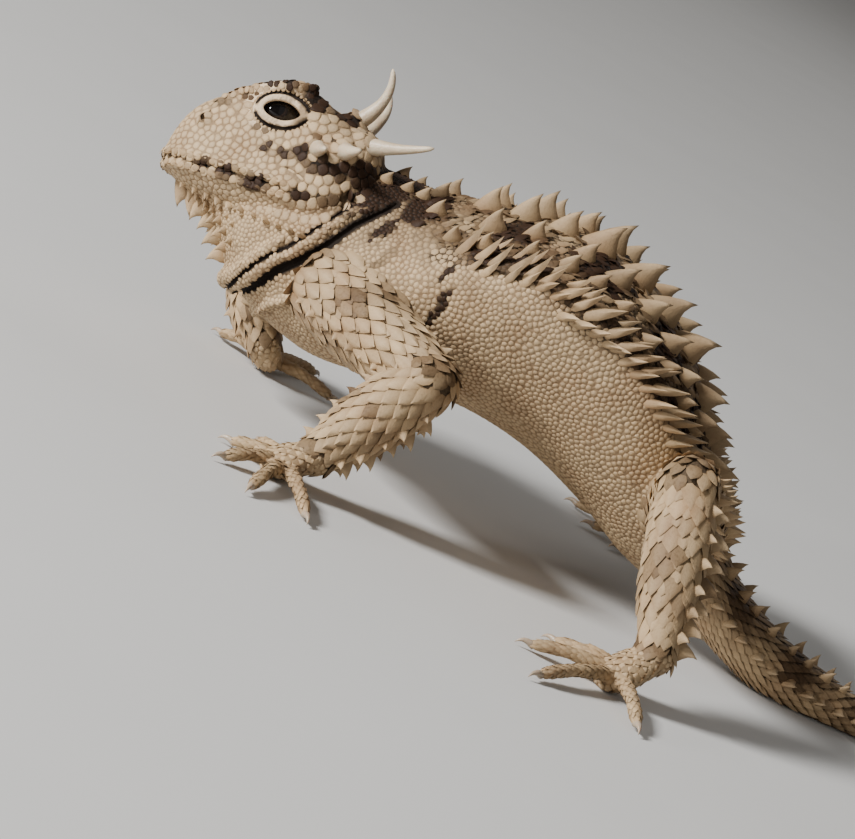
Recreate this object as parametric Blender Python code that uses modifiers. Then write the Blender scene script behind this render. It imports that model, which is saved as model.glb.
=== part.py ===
"""Horned lizard: a still, life-size model that rests on its four feet and its tail.

Lengths are in millimetres until each finished node is brought to metres. +X runs to the head,
+Y to the animal's left and +Z up. The floor is at zero.
"""

import math
import random
from collections import namedtuple

import bmesh
import bpy
import numpy as np
from mathutils import Matrix, Vector
from mathutils.bvhtree import BVHTree

MM = 0.001
GAP = 0.3  # between nodes that touch in life

# Head: its own axes start at the snout tip, on the line of the mouth
SNOUT = Vector((75.6, 0.0, 20.1))
HEAD_YAW = math.radians(4.0)
HEAD_PITCH = math.radians(16.0)
HEAD_ROLL = math.radians(20.0)

EYE_BACK = 12.4  # behind the snout tip
EYE_OUT = 4.9
EYE_UP = 7.6
EYE_RADIUS = 2.6
LID_THICKNESS = 0.6
EYE_OPENING_LENGTH = 4.6
EYE_OPENING_HEIGHT = 2.9

MOUTH_CORNER = 17.5
MOUTH_DROP = 0.12  # how far the line of the mouth falls for each millimetre back
LIP_RADIUS = 0.55
LIP_RISE = 0.75
MOUTH_GROOVE_RADIUS = 0.34
NOSTRIL = (3.8, 5.3)  # back and up
NOSTRIL_RADIUS = 0.62
EAR = (20.4, -0.6)
EAR_SIZE = (0.9, 0.8, 1.7)
BROW_SPINE = (15.2, 7.3, 10.9)
BROW_RADII = (0.6, 0.85, 1.05, 1.15, 0.9)  # along the ridge from before the eye to the brow spine
BROW_FIRST = 3  # the skull section at which the ridge starts
BROW_IN = 0.93  # share of the brow's width at which it runs
BROW_SUNK = 0.5
BROW_SPINE_SIZE = (1.9, 3.2)  # height and width
SOCKET_SEGMENTS = (12, 8)
OPENING_OUT = 3.2  # from the eye's centre to the middle of the opening's plug
OPENING_DEPTH = 6.0
OPENING_SEGMENTS = 14

# Trunk, seen from its left side: the top and the bottom of each section, its half width, the share of
# its height at which it is widest, and how far it lies to the left
Section = namedtuple("Section", "top_x top_z bottom_x bottom_z half_width widest y")
TRUNK = [
    Section(68.0, 24.5, 71.0, 18.6, 3.6, 0.5, -2.0),
    Section(63.0, 28.0, 67.2, 15.6, 6.6, 0.5, -1.6),
    Section(57.0, 31.0, 64.6, 13.4, 9.0, 0.5, -1.0),
    Section(51.5, 32.4, 62.4, 11.6, 9.8, 0.5, -0.4),
    Section(47.6, 32.9, 58.4, 10.2, 10.8, 0.52, 0.0),
    Section(44.0, 33.4, 53.6, 9.0, 12.4, 0.56, 0.0),
    Section(40.0, 34.4, 48.0, 8.6, 14.2, 0.62, 0.0),
    Section(34.5, 36.0, 40.2, 10.2, 16.2, 0.72, 0.0),
    Section(28.0, 37.2, 31.0, 12.2, 17.6, 0.79, 0.0),
    Section(20.5, 36.6, 21.5, 12.0, 17.8, 0.8, 0.0),
    Section(13.5, 33.8, 12.2, 9.6, 16.8, 0.76, 0.0),
    Section(8.0, 30.0, 4.8, 6.6, 14.6, 0.7, 0.0),
    Section(2.8, 24.0, -1.0, 5.2, 11.6, 0.62, 0.0),
    Section(-1.8, 17.8, -5.2, 4.2, 8.6, 0.56, 0.0),
    Section(-6.4, 12.6, -9.0, 2.8, 6.4, 0.52, 0.0),
    Section(-11.8, 9.2, -13.4, 1.2, 5.0, 0.5, -0.1),
    Section(-18.0, 6.9, -18.6, -0.2, 4.0, 0.5, -0.7),
    Section(-25.0, 5.2, -25.2, -0.3, 3.1, 0.5, -2.4),
    Section(-32.0, 4.0, -32.0, -0.3, 2.3, 0.5, -5.4),
    Section(-38.4, 3.0, -38.4, -0.3, 1.6, 0.5, -9.4),
    Section(-43.8, 2.0, -43.8, -0.2, 0.9, 0.5, -14.2),
    Section(-46.4, 1.2, -46.4, -0.1, 0.5, 0.5, -17.0),
]
TRUNK_SIDES = 28
RINGS_PER_SPAN = 2

# Half of each skull section: how far it lies behind the snout, then (out, up) points
# from the crown over the brow, cheek, lip and jaw to the throat
SKULL = [
    (0.0, [(0.0, 2.0), (0.8, 1.9), (1.3, 1.0), (1.5, 0.0), (1.1, -0.6), (0.0, -0.8)]),
    (1.1, [(0.0, 5.0), (1.7, 4.6), (2.7, 2.4), (3.1, -0.1), (2.5, -1.3), (0.0, -1.8)]),
    (2.6, [(0.0, 7.2), (2.7, 6.9), (3.8, 3.4), (4.4, -0.3), (3.7, -2.0), (0.0, -2.9)]),
    (4.8, [(0.0, 8.5), (3.7, 8.5), (4.9, 4.2), (5.6, -0.6), (4.9, -2.8), (0.0, -4.2)]),
    (7.4, [(0.0, 9.2), (5.0, 9.9), (5.9, 5.0), (6.9, -0.9), (6.3, -3.4), (0.0, -5.4)]),
    (10.6, [(0.0, 9.9), (6.9, 11.2), (6.9, 6.0), (8.2, -1.3), (7.6, -4.0), (0.0, -6.4)]),
    (13.6, [(0.0, 10.4), (8.0, 12.3), (7.9, 6.4), (9.3, -1.6), (8.7, -4.4), (0.0, -7.0)]),
    (16.6, [(0.0, 10.6), (8.5, 13.0), (9.2, 6.2), (10.2, -2.0), (9.5, -4.7), (0.0, -7.4)]),
    (18.6, [(0.0, 9.6), (7.3, 9.8), (10.2, 5.4), (10.8, -2.2), (9.9, -4.8), (0.0, -7.4)]),
    (21.6, [(0.0, 9.2), (6.6, 8.9), (10.4, 5.0), (10.6, -2.4), (9.6, -4.6), (0.0, -7.2)]),
    (24.6, [(0.0, 8.4), (6.0, 7.9), (9.2, 4.4), (9.0, -2.4), (8.2, -4.2), (0.0, -6.6)]),
    (26.4, [(0.0, 6.4), (4.4, 6.0), (6.6, 3.4), (6.6, -1.8), (6.0, -3.4), (0.0, -5.2)]),
]
SKULL_LEVELS = 1

# Planes that part the trunk, each as a point and the direction to the head, seen from the left side
HEAD_PLANE = (Vector((63.2, 0.0, 12.0)), Vector((20.5, 0.0, 12.6)))
NECK_PLANE = (Vector((45.8, 0.0, 20.0)), Vector((23.6, 0.0, 9.0)))
TAIL_PLANE = (Vector((-8.0, 0.0, 8.0)), Vector((10.0, 0.0, 3.2)))
TAIL_TIP_PLANE = (Vector((-28.0, -3.6, 2.0)), Vector((7.0, 2.6, 1.0)))

# Horns, on the head's axes: where each starts, bends and ends (back, out, up), and its root radius
Horn = namedtuple("Horn", "name root bend tip radius")
HORNS = [
    Horn("horn_occipital", (20.8, 4.4, 8.0), (25.8, 5.3, 11.6), (24.4, 6.6, 15.6), 1.2),
    Horn("horn_temporal_1", (23.0, 7.6, 5.6), (27.2, 9.4, 5.4), (31.4, 11.6, 6.4), 1.2),
    Horn("horn_temporal_2", (21.0, 9.4, 4.0), (22.2, 11.8, 3.6), (23.2, 13.8, 3.7), 1.25),
    Horn("horn_temporal_3", (18.0, 9.4, 3.6), (18.6, 11.2, 3.2), (19.2, 12.9, 3.1), 1.15),
]
HORN_SIDES = 8
HORN_TAPER = (1.0, 0.85, 0.66, 0.44, 0.12)  # of the root's radius, from the root to the tip

# Legs: joints from the root out, with the radius at each
Leg = namedtuple("Leg", "name joints radii palm digits")
LEGS = [
    Leg("fore_leg_left", [(51.5, 9.0, 18.5), (34.6, 22.4, 17.0), (41.4, 26.4, 4.0)], (4.8, 3.7, 2.3),
        (44.6, 28.6, 1.7), [(48.0, 20.6), (50.6, 27.2), (50.2, 35.0), (45.6, 40.8), (38.8, 39.6)]),
    Leg("fore_leg_right", [(50.8, -7.4, 14.0), (59.8, -17.8, 8.4), (55.0, -14.0, 3.8)], (4.4, 3.3, 2.2),
        (53.8, -15.4, 1.7), [(60.6, -19.4), (58.4, -24.6), (54.0, -27.4), (48.0, -26.6), (44.2, -18.6)]),
    Leg("hind_leg_left", [(-0.6, 4.0, 13.0), (3.2, 23.8, 22.2), (-2.6, 33.4, 5.2)], (4.9, 3.5, 2.2),
        (0.4, 36.4, 1.8), [(4.6, 29.0), (8.0, 32.4), (10.6, 39.2), (8.6, 48.8), (-3.6, 46.6)]),
    Leg("hind_leg_right", [(-0.6, -4.0, 13.0), (4.6, -23.4, 19.4), (-4.6, -30.4, 5.2)], (4.9, 3.4, 2.2),
        (-1.2, -33.6, 1.8), [(3.4, -27.4), (7.4, -31.0), (10.4, -37.6), (8.4, -46.6), (-4.6, -43.2)]),
]
SIDES = ((1, "left"), (-1, "right"))
PLANES = (HEAD_PLANE, NECK_PLANE, TAIL_PLANE, TAIL_TIP_PLANE)
LEG_SIDES = 10
DIGIT_SIDES = 5
DIGIT_RADIUS = 0.95
CLAW_LENGTH = 1.5
CLAW_RADIUS = 0.5
FLAT_DEPTH = 0.25  # taken off below each foot and the tail, which leaves the flats that it rests on
SOLE_SQUASH = 0.72  # share of a sole's width that is its height
TOE_RISE = 1.4  # of a digit's bend over the line from the sole to its tip
TOE_START = 1.6  # the most height at which a digit leaves the sole
TOE_SIZES = (1.15, 1.05, 1.0, 0.85)
CLAW_SUNK = 0.8
CLAW_RISE = 0.5
CLAW_DROP = 0.35
CLAW_SIZES = (1.2, 0.9, 0.2)

# Rows of spines: share of the way from the back's middle to the fringe, height and spacing
Row = namedtuple("Row", "share height spacing")
BACK_ROWS = [Row(0.13, 3.2, 4.9), Row(0.38, 2.6, 5.2), Row(0.6, 2.1, 5.0)]
FRINGE_ROWS = [Row(0.8, 2.4, 4.2), Row(1.0, 2.9, 3.8)]
TAIL_ROWS = [Row(0.3, 2.6, 4.0), Row(0.95, 2.8, 3.6)]
GULAR_ROWS = (0.0, 22.0, 46.0)  # degrees out from the throat's middle
GULAR_HEIGHT = 1.5
GULAR_SPACING = 1.9
GULAR_FIRST = 3.0  # behind the snout
GULAR_LAST = 14.0
JAW_SPINE_SPACING = 2.0
JAW_SPINE_FIRST = 3.6
JAW_SPINE_HEIGHT = 0.9
JAW_SPINE_GROWTH = 0.05  # for each millimetre back
JAW_EDGE = -1.9  # height of the jaw's edge at the snout, and how it falls to the rear
JAW_SLOPE = 0.14
LEG_SPINE_HEIGHT = 1.5
LEG_SPINE_SPACING = 2.9
LEG_SPINE_TURNS = (40.0, 140.0, 215.0)  # degrees round the leg
LEG_SPINE_END = 2.2  # how far from the joint the last one stands
SPINE_SUNK = 0.7
NAPE = 40.0  # in front of this the back's spines are smaller
NAPE_SHARE = 0.75

# Folds of the neck: their place between sections at the throat and at the sides, their radius, and how
# far round from the nape they end
Fold = namedtuple("Fold", "low high radius end")
NECK_FOLDS = [Fold(6.5, 6.9, 1.3, 96.0), Fold(7.2, 8.4, 0.85, 52.0), Fold(8.4, 9.3, 0.6, 56.0)]
FOLD_STEPS = 13
FOLD_SIDES = 6
FOLD_TIP = 0.3  # share of the radius that is left at a fold's ends
FOLD_GROW = 0.2  # how far its middle line lies over the skin
SEED = 17

SKIN = (0.52, 0.47, 0.40, 1.0)
HORN_COLOUR = (0.62, 0.55, 0.44, 1.0)
EYE_COLOUR = (0.03, 0.025, 0.02, 1.0)

HEAD = (
    Matrix.Translation(SNOUT)
    @ Matrix.Rotation(HEAD_YAW, 4, "Z")
    @ Matrix.Rotation(HEAD_PITCH, 4, "Y")
    @ Matrix.Rotation(HEAD_ROLL, 4, "X")
)


def material(name, colour, roughness):
    made = bpy.data.materials.new(name)
    made.use_nodes = True
    shader = made.node_tree.nodes["Principled BSDF"]
    shader.inputs["Base Color"].default_value = colour
    shader.inputs["Roughness"].default_value = roughness
    shader.inputs["Metallic"].default_value = 0.0
    return made


def new_object(name, bm, collection):
    """An object from a bmesh, which it uses up."""
    bmesh.ops.recalc_face_normals(bm, faces=bm.faces)
    mesh = bpy.data.meshes.new(name)
    bm.to_mesh(mesh)
    bm.free()
    made = bpy.data.objects.new(name, mesh)
    collection.objects.link(made)
    return made


def apply_modifiers(obj):
    bpy.context.view_layer.update()
    graph = bpy.context.evaluated_depsgraph_get()
    mesh = bpy.data.meshes.new_from_object(obj.evaluated_get(graph))
    obj.modifiers.clear()
    old = obj.data
    obj.data = mesh
    bpy.data.meshes.remove(old)


def combine(obj, others, operation):
    """One Boolean with closed mesh objects, applied, with those objects then removed."""
    helpers = bpy.data.collections.new("pieces")
    bpy.context.scene.collection.children.link(helpers)
    for other in others:
        for home in list(other.users_collection):
            home.objects.unlink(other)
        helpers.objects.link(other)
    boolean = obj.modifiers.new("combine", "BOOLEAN")
    boolean.operation = operation
    boolean.operand_type = "COLLECTION"
    boolean.collection = helpers
    boolean.solver = "MANIFOLD"
    apply_modifiers(obj)
    for other in others:
        bpy.data.objects.remove(other)
    bpy.data.collections.remove(helpers)
    keep_largest(obj)


def keep_largest(obj):
    """Removes every closed surface but the one round the most space."""
    bm = bmesh.new()
    bm.from_mesh(obj.data)
    left = set(bm.faces)
    shells = []
    while left:
        stack = [left.pop()]
        shell = set(stack)
        while stack:
            for edge in stack.pop().edges:
                for face in edge.link_faces:
                    if face in left:
                        left.discard(face)
                        shell.add(face)
                        stack.append(face)
        shells.append(shell)
    if len(shells) > 1:
        shells.sort(key=shell_volume)
        for shell in shells[:-1]:
            bmesh.ops.delete(bm, geom=list(shell), context="FACES")
        bm.to_mesh(obj.data)
    bm.free()


def shell_volume(shell):
    total = 0.0
    for face in shell:
        corners = [vert.co for vert in face.verts]
        for second, third in zip(corners[1:], corners[2:]):
            total += corners[0].dot(second.cross(third)) / 6.0
    return total


def duplicate(obj, name, collection):
    made = bpy.data.objects.new(name, obj.data.copy())
    collection.objects.link(made)
    return made


def cut_flat(obj, point, direction, keep_positive=True):
    """Keeps the side that the direction points to, half a gap clear of the plane, and caps it."""
    direction = direction.normalized()
    if not keep_positive:
        direction = -direction
    bm = bmesh.new()
    bm.from_mesh(obj.data)
    bmesh.ops.bisect_plane(
        bm,
        geom=bm.verts[:] + bm.edges[:] + bm.faces[:],
        plane_co=point + direction * (GAP / 2),
        plane_no=direction,
        clear_inner=True,
    )
    rim = [edge for edge in bm.edges if edge.is_boundary]
    bmesh.ops.triangle_fill(bm, use_beauty=True, edges=rim)
    bmesh.ops.recalc_face_normals(bm, faces=bm.faces)
    bm.to_mesh(obj.data)
    bm.free()


def loft(rings):
    """A closed bmesh through rings of equal numbers of points."""
    bm = bmesh.new()
    loops = [[bm.verts.new(point) for point in ring] for ring in rings]
    count = len(loops[0])
    for near, far in zip(loops, loops[1:]):
        for index in range(count):
            after = (index + 1) % count
            bm.faces.new((near[index], near[after], far[after], far[index]))
    bm.faces.new(reversed(loops[0]))
    bm.faces.new(loops[-1])
    return bm


def smooth_rows(rows, per_span):
    """Rows of numbers with others set between them on a Catmull-Rom curve."""
    table = np.array(rows, float)
    padded = np.vstack([2 * table[0] - table[1], table, 2 * table[-1] - table[-2]])
    found = []
    for index in range(1, len(padded) - 2):
        a, b, c, d = padded[index - 1:index + 3]
        for step in range(per_span):
            t = step / per_span
            found.append(
                0.5 * (2 * b + (c - a) * t + (2 * a - 5 * b + 4 * c - d) * t * t
                       + (3 * b - a - 3 * c + d) * t ** 3)
            )
    found.append(table[-1])
    return np.array(found)


def trunk_sections():
    return [Section(*row) for row in smooth_rows(TRUNK, RINGS_PER_SPAN)]


def trunk_axes(sections, index):
    """The section's widest centre, its up and side directions, and its heights above and below."""
    section = sections[index]
    top = Vector((section.top_x, section.y, section.top_z))
    bottom = Vector((section.bottom_x, section.y, section.bottom_z))
    before = sections[max(index - 1, 0)]
    after = sections[min(index + 1, len(sections) - 1)]
    along_x = (before.top_x + before.bottom_x - after.top_x - after.bottom_x) / 2
    along_y = before.y - after.y
    side = Vector((-along_y, along_x, 0.0)).normalized()
    height = (top - bottom).length
    up = (top - bottom) / height
    centre = bottom + (top - bottom) * section.widest
    return centre, up, side, height * (1 - section.widest), height * section.widest


def trunk_point(sections, index, angle, grow=0.0):
    """A point of the skin: angle 0 is on the back, a quarter turn on the left side."""
    centre, up, side, above, below = trunk_axes(sections, index)
    height = (above if math.cos(angle) > 0 else below) + grow
    width = sections[index].half_width + grow
    return centre + side * (width * math.sin(angle)) + up * (height * math.cos(angle))


def trunk_loft(grow=0.0):
    sections = trunk_sections()
    turns = [2 * math.pi * step / TRUNK_SIDES for step in range(TRUNK_SIDES)]
    return loft(
        [[trunk_point(sections, index, turn, grow) for turn in turns] for index in range(len(sections))]
    )


def skull(collection, grow=0.0):
    """The skull, without its eyes, mouth and horns, where it lies in the model."""
    rings = []
    for back, half in SKULL:
        left = [Vector((-back, out, up)) for out, up in half]
        right = [Vector((-back, -out, up)) for out, up in reversed(half[1:-1])]
        rings.append(left + right)
    cage = new_object("skull", loft(rings), collection)
    subdivision = cage.modifiers.new("subdivision", "SUBSURF")
    subdivision.levels = SKULL_LEVELS
    subdivision.render_levels = SKULL_LEVELS
    apply_modifiers(cage)
    if grow:
        bm = bmesh.new()
        bm.from_mesh(cage.data)
        bm.normal_update()
        for vert, normal in [(vert, vert.normal.copy()) for vert in bm.verts]:
            vert.co += normal * grow
        bm.to_mesh(cage.data)
        bm.free()
    cage.data.transform(HEAD)
    return cage


def tube(points, radii, sides, squash=1.0):
    """A closed tube through the points, with a radius at each. Squash flattens its height."""
    rings = []
    first = (points[1] - points[0]).normalized()
    across = first.cross(Vector((0, 0, 1) if abs(first.z) < 0.9 else (1, 0, 0)))
    for index, point in enumerate(points):
        before = points[max(index - 1, 0)]
        after = points[min(index + 1, len(points) - 1)]
        along = (after - before).normalized()
        across = (across - along * across.dot(along)).normalized()
        rise = across.cross(along)
        radius = radii[index]
        rings.append(
            [
                point
                + across * (radius * math.cos(2 * math.pi * step / sides))
                + rise * (radius * squash * math.sin(2 * math.pi * step / sides))
                for step in range(sides)
            ]
        )
    return loft(rings)


def arc_points(start, bend, end, count):
    """Points on a smooth curve from start to end, drawn towards bend."""
    found = []
    for step in range(count):
        t = step / (count - 1)
        found.append(start * (1 - t) ** 2 + bend * (2 * t * (1 - t)) + end * t ** 2)
    return found


def ball(radius, centre, segments=16, rings=10):
    bm = bmesh.new()
    bmesh.ops.create_uvsphere(bm, u_segments=segments, v_segments=rings, radius=radius)
    bmesh.ops.translate(bm, verts=bm.verts, vec=centre)
    return bm


def thorn(root, lean, normal, height, width, collection, curved=False):
    """A spine with a broad foot, sunk at its root, that leans as the lean direction says."""
    along = (lean - normal * lean.dot(normal)).normalized()
    across = normal.cross(along)
    foot = root - normal * SPINE_SUNK
    middle = root + normal * (height * 0.4) + along * (height * 0.08)
    tip = root + normal * height + along * (height * 0.6)
    outline = [(1.0, 0.0), (0.3, 0.8), (-0.9, 0.5), (-0.9, -0.5), (0.3, -0.8)]
    bm = bmesh.new()
    loops = []
    for centre, size in ((foot, 0.58), (middle, 0.36)) if curved else ((foot, 0.62),):
        loops.append([bm.verts.new(centre + (along * a + across * b) * (width * size)) for a, b in outline])
    apex = bm.verts.new(tip)
    bm.faces.new(reversed(loops[0]))
    for index in range(len(outline)):
        after = (index + 1) % len(outline)
        if curved:
            bm.faces.new((loops[0][index], loops[0][after], loops[1][after], loops[1][index]))
        bm.faces.new((loops[-1][index], loops[-1][after], apex))
    return new_object("thorn", bm, collection)


def surface_of(obj):
    bm = bmesh.new()
    bm.from_mesh(obj.data)
    tree = BVHTree.FromBMesh(bm)
    bm.free()
    return tree


def row_sites(sections, row, rng):
    """Where a row's spines stand on both sides of the trunk: root, backward direction and normal."""
    angle = row.share * math.pi / 2
    for side in (1, -1):
        left = row.spacing * rng.uniform(0.2, 0.8)
        for index in range(1, len(sections) - 1):
            here = trunk_point(sections, index, side * angle)
            after = trunk_point(sections, index + 1, side * angle)
            span = (after - here).length
            while left < span:
                back = (after - here).normalized()
                beside = trunk_point(sections, index, side * angle + 0.05)
                yield here.lerp(after, left / span), back, (beside - here).cross(back).normalized()
                left += row.spacing * rng.uniform(0.85, 1.15)
            left -= span


def clear_of_plane(root, plane, margin):
    point, direction = plane
    return abs((root - point).dot(direction.normalized())) > margin


def finish(obj, finish_material, shift):
    obj.data.transform(Matrix.Scale(MM, 4) @ Matrix.Translation(shift))
    obj.data.materials.clear()
    obj.data.materials.append(finish_material)
    obj.data.shade_smooth()
    obj.data.set_sharp_from_angle(angle=math.radians(40))


def part_trunk(whole, collection):
    """Parts the whole body into the head, neck, torso and two lengths of tail."""
    cut_flat(whole, Vector((0, 0, -GAP / 2)), Vector((0, 0, 1)))
    found = {}
    for name, front, rear in (
        ("head", None, HEAD_PLANE),
        ("neck", HEAD_PLANE, NECK_PLANE),
        ("torso", NECK_PLANE, TAIL_PLANE),
        ("tail_base", TAIL_PLANE, TAIL_TIP_PLANE),
        ("tail_tip", TAIL_TIP_PLANE, None),
    ):
        found[name] = duplicate(whole, name, collection)
        if front:
            cut_flat(found[name], *front, keep_positive=False)
        if rear:
            cut_flat(found[name], *rear)
        keep_largest(found[name])
    bpy.data.objects.remove(whole)
    return found


def build_horns(collection):
    found = {}
    for horn in HORNS:
        for side, word in SIDES:
            points = (horn.root, horn.bend, horn.tip)
            places = [HEAD @ Vector((-back, side * out, up)) for back, out, up in points]
            path = arc_points(*places, len(HORN_TAPER))
            radii = [horn.radius * size for size in HORN_TAPER]
            name = f"{horn.name}_{word}"
            found[name] = new_object(name, tube(path, radii, HORN_SIDES), collection)
            combine(found[name], [skull(collection, GAP)], "DIFFERENCE")
    return found


def build_eyes(head, collection):
    """Both eyes, each in a socket behind lids that leave an almond opening."""
    found = {}
    for side, word in SIDES:
        centre = HEAD @ Vector((-EYE_BACK, side * EYE_OUT, EYE_UP))
        name = f"eye_{word}"
        found[name] = new_object(name, ball(EYE_RADIUS, centre, *SOCKET_SEGMENTS), collection)
        lids = ball(EYE_RADIUS + GAP + LID_THICKNESS, centre)
        combine(head, [new_object("lids", lids, collection)], "UNION")
        opening = bmesh.new()
        bmesh.ops.create_cone(
            opening, cap_ends=True, segments=OPENING_SEGMENTS, radius1=0.5, radius2=0.5, depth=OPENING_DEPTH
        )
        stretch = Matrix.Diagonal((EYE_OPENING_LENGTH, EYE_OPENING_HEIGHT, 1.0, 1.0))
        place = HEAD @ Matrix.Translation((-EYE_BACK, side * (EYE_OUT + OPENING_OUT), EYE_UP))
        opening.transform(place @ Matrix.Rotation(math.radians(90), 4, "X") @ stretch)
        socket = new_object("socket", ball(EYE_RADIUS + GAP, centre, *SOCKET_SEGMENTS), collection)
        combine(head, [socket, new_object("opening", opening, collection)], "DIFFERENCE")
    return found


def brow_ridges(collection):
    """Ridges that overhang the eyes, along the skull's own brow points."""
    ridges = []
    for side, _ in SIDES:
        path = []
        for back, half in SKULL[BROW_FIRST:BROW_FIRST + len(BROW_RADII)]:
            out, up = half[1]
            path.append(HEAD @ Vector((-back, side * BROW_IN * out, up - BROW_SUNK)))
        ridges.append(new_object("ridge", tube(path, BROW_RADII, 6), collection))
    return ridges


def cast(surface, back, out, up, way):
    """Where a ray on the head's axes leaves its surface, and the normal there, in the model."""
    start = HEAD @ Vector((-back, out, up))
    towards = (HEAD.to_3x3() @ Vector(way)).normalized()
    place, normal, _, _ = surface.ray_cast(start + towards * 40.0, -towards)
    return place, normal


def mouth_path(surface, rise):
    """Points along a lip, from the left corner round the snout to the right corner."""
    backs = [MOUTH_CORNER * share for share in (1.0, 0.75, 0.5, 0.3, 0.15, 0.06)]
    left = [cast(surface, back, 0.0, rise - MOUTH_DROP * back, (0, 1, 0))[0] for back in backs]
    right = [cast(surface, back, 0.0, rise - MOUTH_DROP * back, (0, -1, 0))[0] for back in backs]
    front = cast(surface, 2.0, 0.0, rise, (1, 0, 0))[0]
    return left + [front] + right[::-1]


def detail_head(head, rng, collection):
    """Lips, line of the mouth, nostrils, ears, brow spines and the spines of the jaw and throat."""
    surface = surface_of(head)
    lips = []
    for rise in (LIP_RISE, -LIP_RISE):
        path = mouth_path(surface, rise)
        radii = [LIP_RADIUS * (0.7 if index in (0, len(path) - 1) else 1.0) for index in range(len(path))]
        lips.append(new_object("lip", tube(path, radii, 5), collection))
    combine(head, lips, "UNION")
    path = mouth_path(surface, 0.0)
    radii = [MOUTH_GROOVE_RADIUS] * len(path)
    cutters = [new_object("mouth", tube(path, radii, 5), collection)]
    for side in (1, -1):
        nostril, _ = cast(surface, NOSTRIL[0], 0.0, NOSTRIL[1], (0.15, side, 0.25))
        cutters.append(new_object("nostril", ball(NOSTRIL_RADIUS, nostril, 8, 6), collection))
        ear, _ = cast(surface, EAR[0], 0.0, EAR[1], (0, side, 0))
        cup = bmesh.new()
        bmesh.ops.create_uvsphere(cup, u_segments=10, v_segments=8, radius=1.0)
        size = Matrix.Diagonal((*EAR_SIZE, 1.0))
        cup.transform(Matrix.Translation(ear) @ HEAD.to_3x3().to_4x4() @ size)
        cutters.append(new_object("ear", cup, collection))
    combine(head, cutters, "DIFFERENCE")
    combine(head, head_spines(surface, rng, collection), "UNION")


def head_spines(surface, rng, collection):
    """The spine at the rear of each brow, the row along each jaw and those that hang under the throat."""
    turn = HEAD.to_3x3()
    spines = []
    for side in (1, -1):
        back, out, up = BROW_SPINE
        root = HEAD @ Vector((-back, side * out, up))
        upward = turn @ Vector((-0.35, side * 0.2, 0.9)).normalized()
        spines.append(thorn(root, turn @ Vector((-1, 0, 0)), upward, *BROW_SPINE_SIZE, collection, True))
        back = JAW_SPINE_FIRST
        while back < MOUTH_CORNER - 0.5:
            root, normal = cast(surface, back, 0.0, JAW_EDGE - JAW_SLOPE * back, (0, side, -0.25))
            size = JAW_SPINE_HEIGHT + JAW_SPINE_GROWTH * back
            lean = turn @ Vector((-0.6, side * 0.3, -1))
            spines.append(thorn(root, lean, normal, size, 1.5 * size, collection))
            back += JAW_SPINE_SPACING * rng.uniform(0.9, 1.1)
    for degrees in GULAR_ROWS:
        for side in (1, -1) if degrees else (1,):
            angle = math.radians(degrees)
            back = GULAR_FIRST + degrees / 60.0
            while back < GULAR_LAST:
                way = (0.45, side * math.sin(angle), -math.cos(angle))
                root, normal = cast(surface, back + 1.2, 0.0, -1.5, way)
                size = GULAR_HEIGHT * rng.uniform(0.85, 1.15)
                if clear_of_plane(root, HEAD_PLANE, size + 0.3) and node_at(root) == "head":
                    lean = turn @ Vector((0.2, side * 0.1, -1.0))
                    spines.append(thorn(root, lean, normal, size, 1.15 * size, collection))
                back += GULAR_SPACING * rng.uniform(0.9, 1.1)
    return spines


def neck_folds(collection, grow=0.0):
    """The gular fold and the folds behind it, as tapered ridges round the throat from side to side."""
    sections = trunk_sections()
    folds = []
    for fold in NECK_FOLDS:
        path = []
        radii = []
        for step in range(FOLD_STEPS):
            share = 2 * step / (FOLD_STEPS - 1) - 1
            angle = math.radians(180.0 - share * (180.0 - fold.end))
            place = fold.low + (fold.high - fold.low) * abs(share)
            near, far = (trunk_point(sections, int(place) + ahead, angle, FOLD_GROW) for ahead in (0, 1))
            path.append(near.lerp(far, place % 1))
            taper = FOLD_TIP + (1 - FOLD_TIP) * math.cos(share * math.pi / 2)
            radii.append((fold.radius + grow) * taper)
        folds.append(new_object("fold", tube(path, radii, FOLD_SIDES), collection))
    return folds


def trunk_spines(rng, collection):
    """The rows of the back and sides, then those of the tail."""
    sections = trunk_sections()
    spines = []
    for row in BACK_ROWS + FRINGE_ROWS + TAIL_ROWS:
        for root, back, normal in row_sites(sections, row, rng):
            size = row.height * spine_share(root) * rng.uniform(0.8, 1.15)
            reach = 0.6 * size + 0.4
            if node_at(root).startswith("tail") != (row in TAIL_ROWS):
                continue
            if near_leg(root, size + LEG_SPINE_HEIGHT) or node_at(root) == "head":
                continue
            if all(clear_of_plane(root, plane, reach) for plane in PLANES):
                curved = row in BACK_ROWS
                spines.append(thorn(root, back, normal, size, size, collection, curved))
    return spines


def spine_share(root):
    """Spines shrink over the nape and along the tail."""
    if root.x > NAPE:
        return NAPE_SHARE
    return min(1.0, 0.95 + root.x / 60.0) if root.x < 0.0 else 1.0


def leg_spines(leg, surface, start, end, rng, collection):
    """Pointed scales along the back and front edges of a length of leg."""
    down = (end - start).normalized()
    spines = []
    for degrees in LEG_SPINE_TURNS:
        side = down.cross(Vector((0, 0, 1))).normalized()
        rise = side.cross(down)
        way = side * math.cos(math.radians(degrees)) + rise * math.sin(math.radians(degrees))
        reach = LEG_SPINE_SPACING * rng.uniform(0.8, 1.4)
        length = (end - start).length
        while reach < length - LEG_SPINE_END:
            middle = start + down * reach
            root, normal, _, _ = surface.ray_cast(middle + way * 20.0, -way)
            size = LEG_SPINE_HEIGHT * rng.uniform(0.8, 1.2)
            if root and (root - middle).length < leg.radii[0] + 1.5 and not near_trunk(root, size):
                spines.append(thorn(root, down, normal, size, 1.2 * size, collection))
            reach += LEG_SPINE_SPACING * rng.uniform(0.9, 1.1)
    return spines


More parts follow.
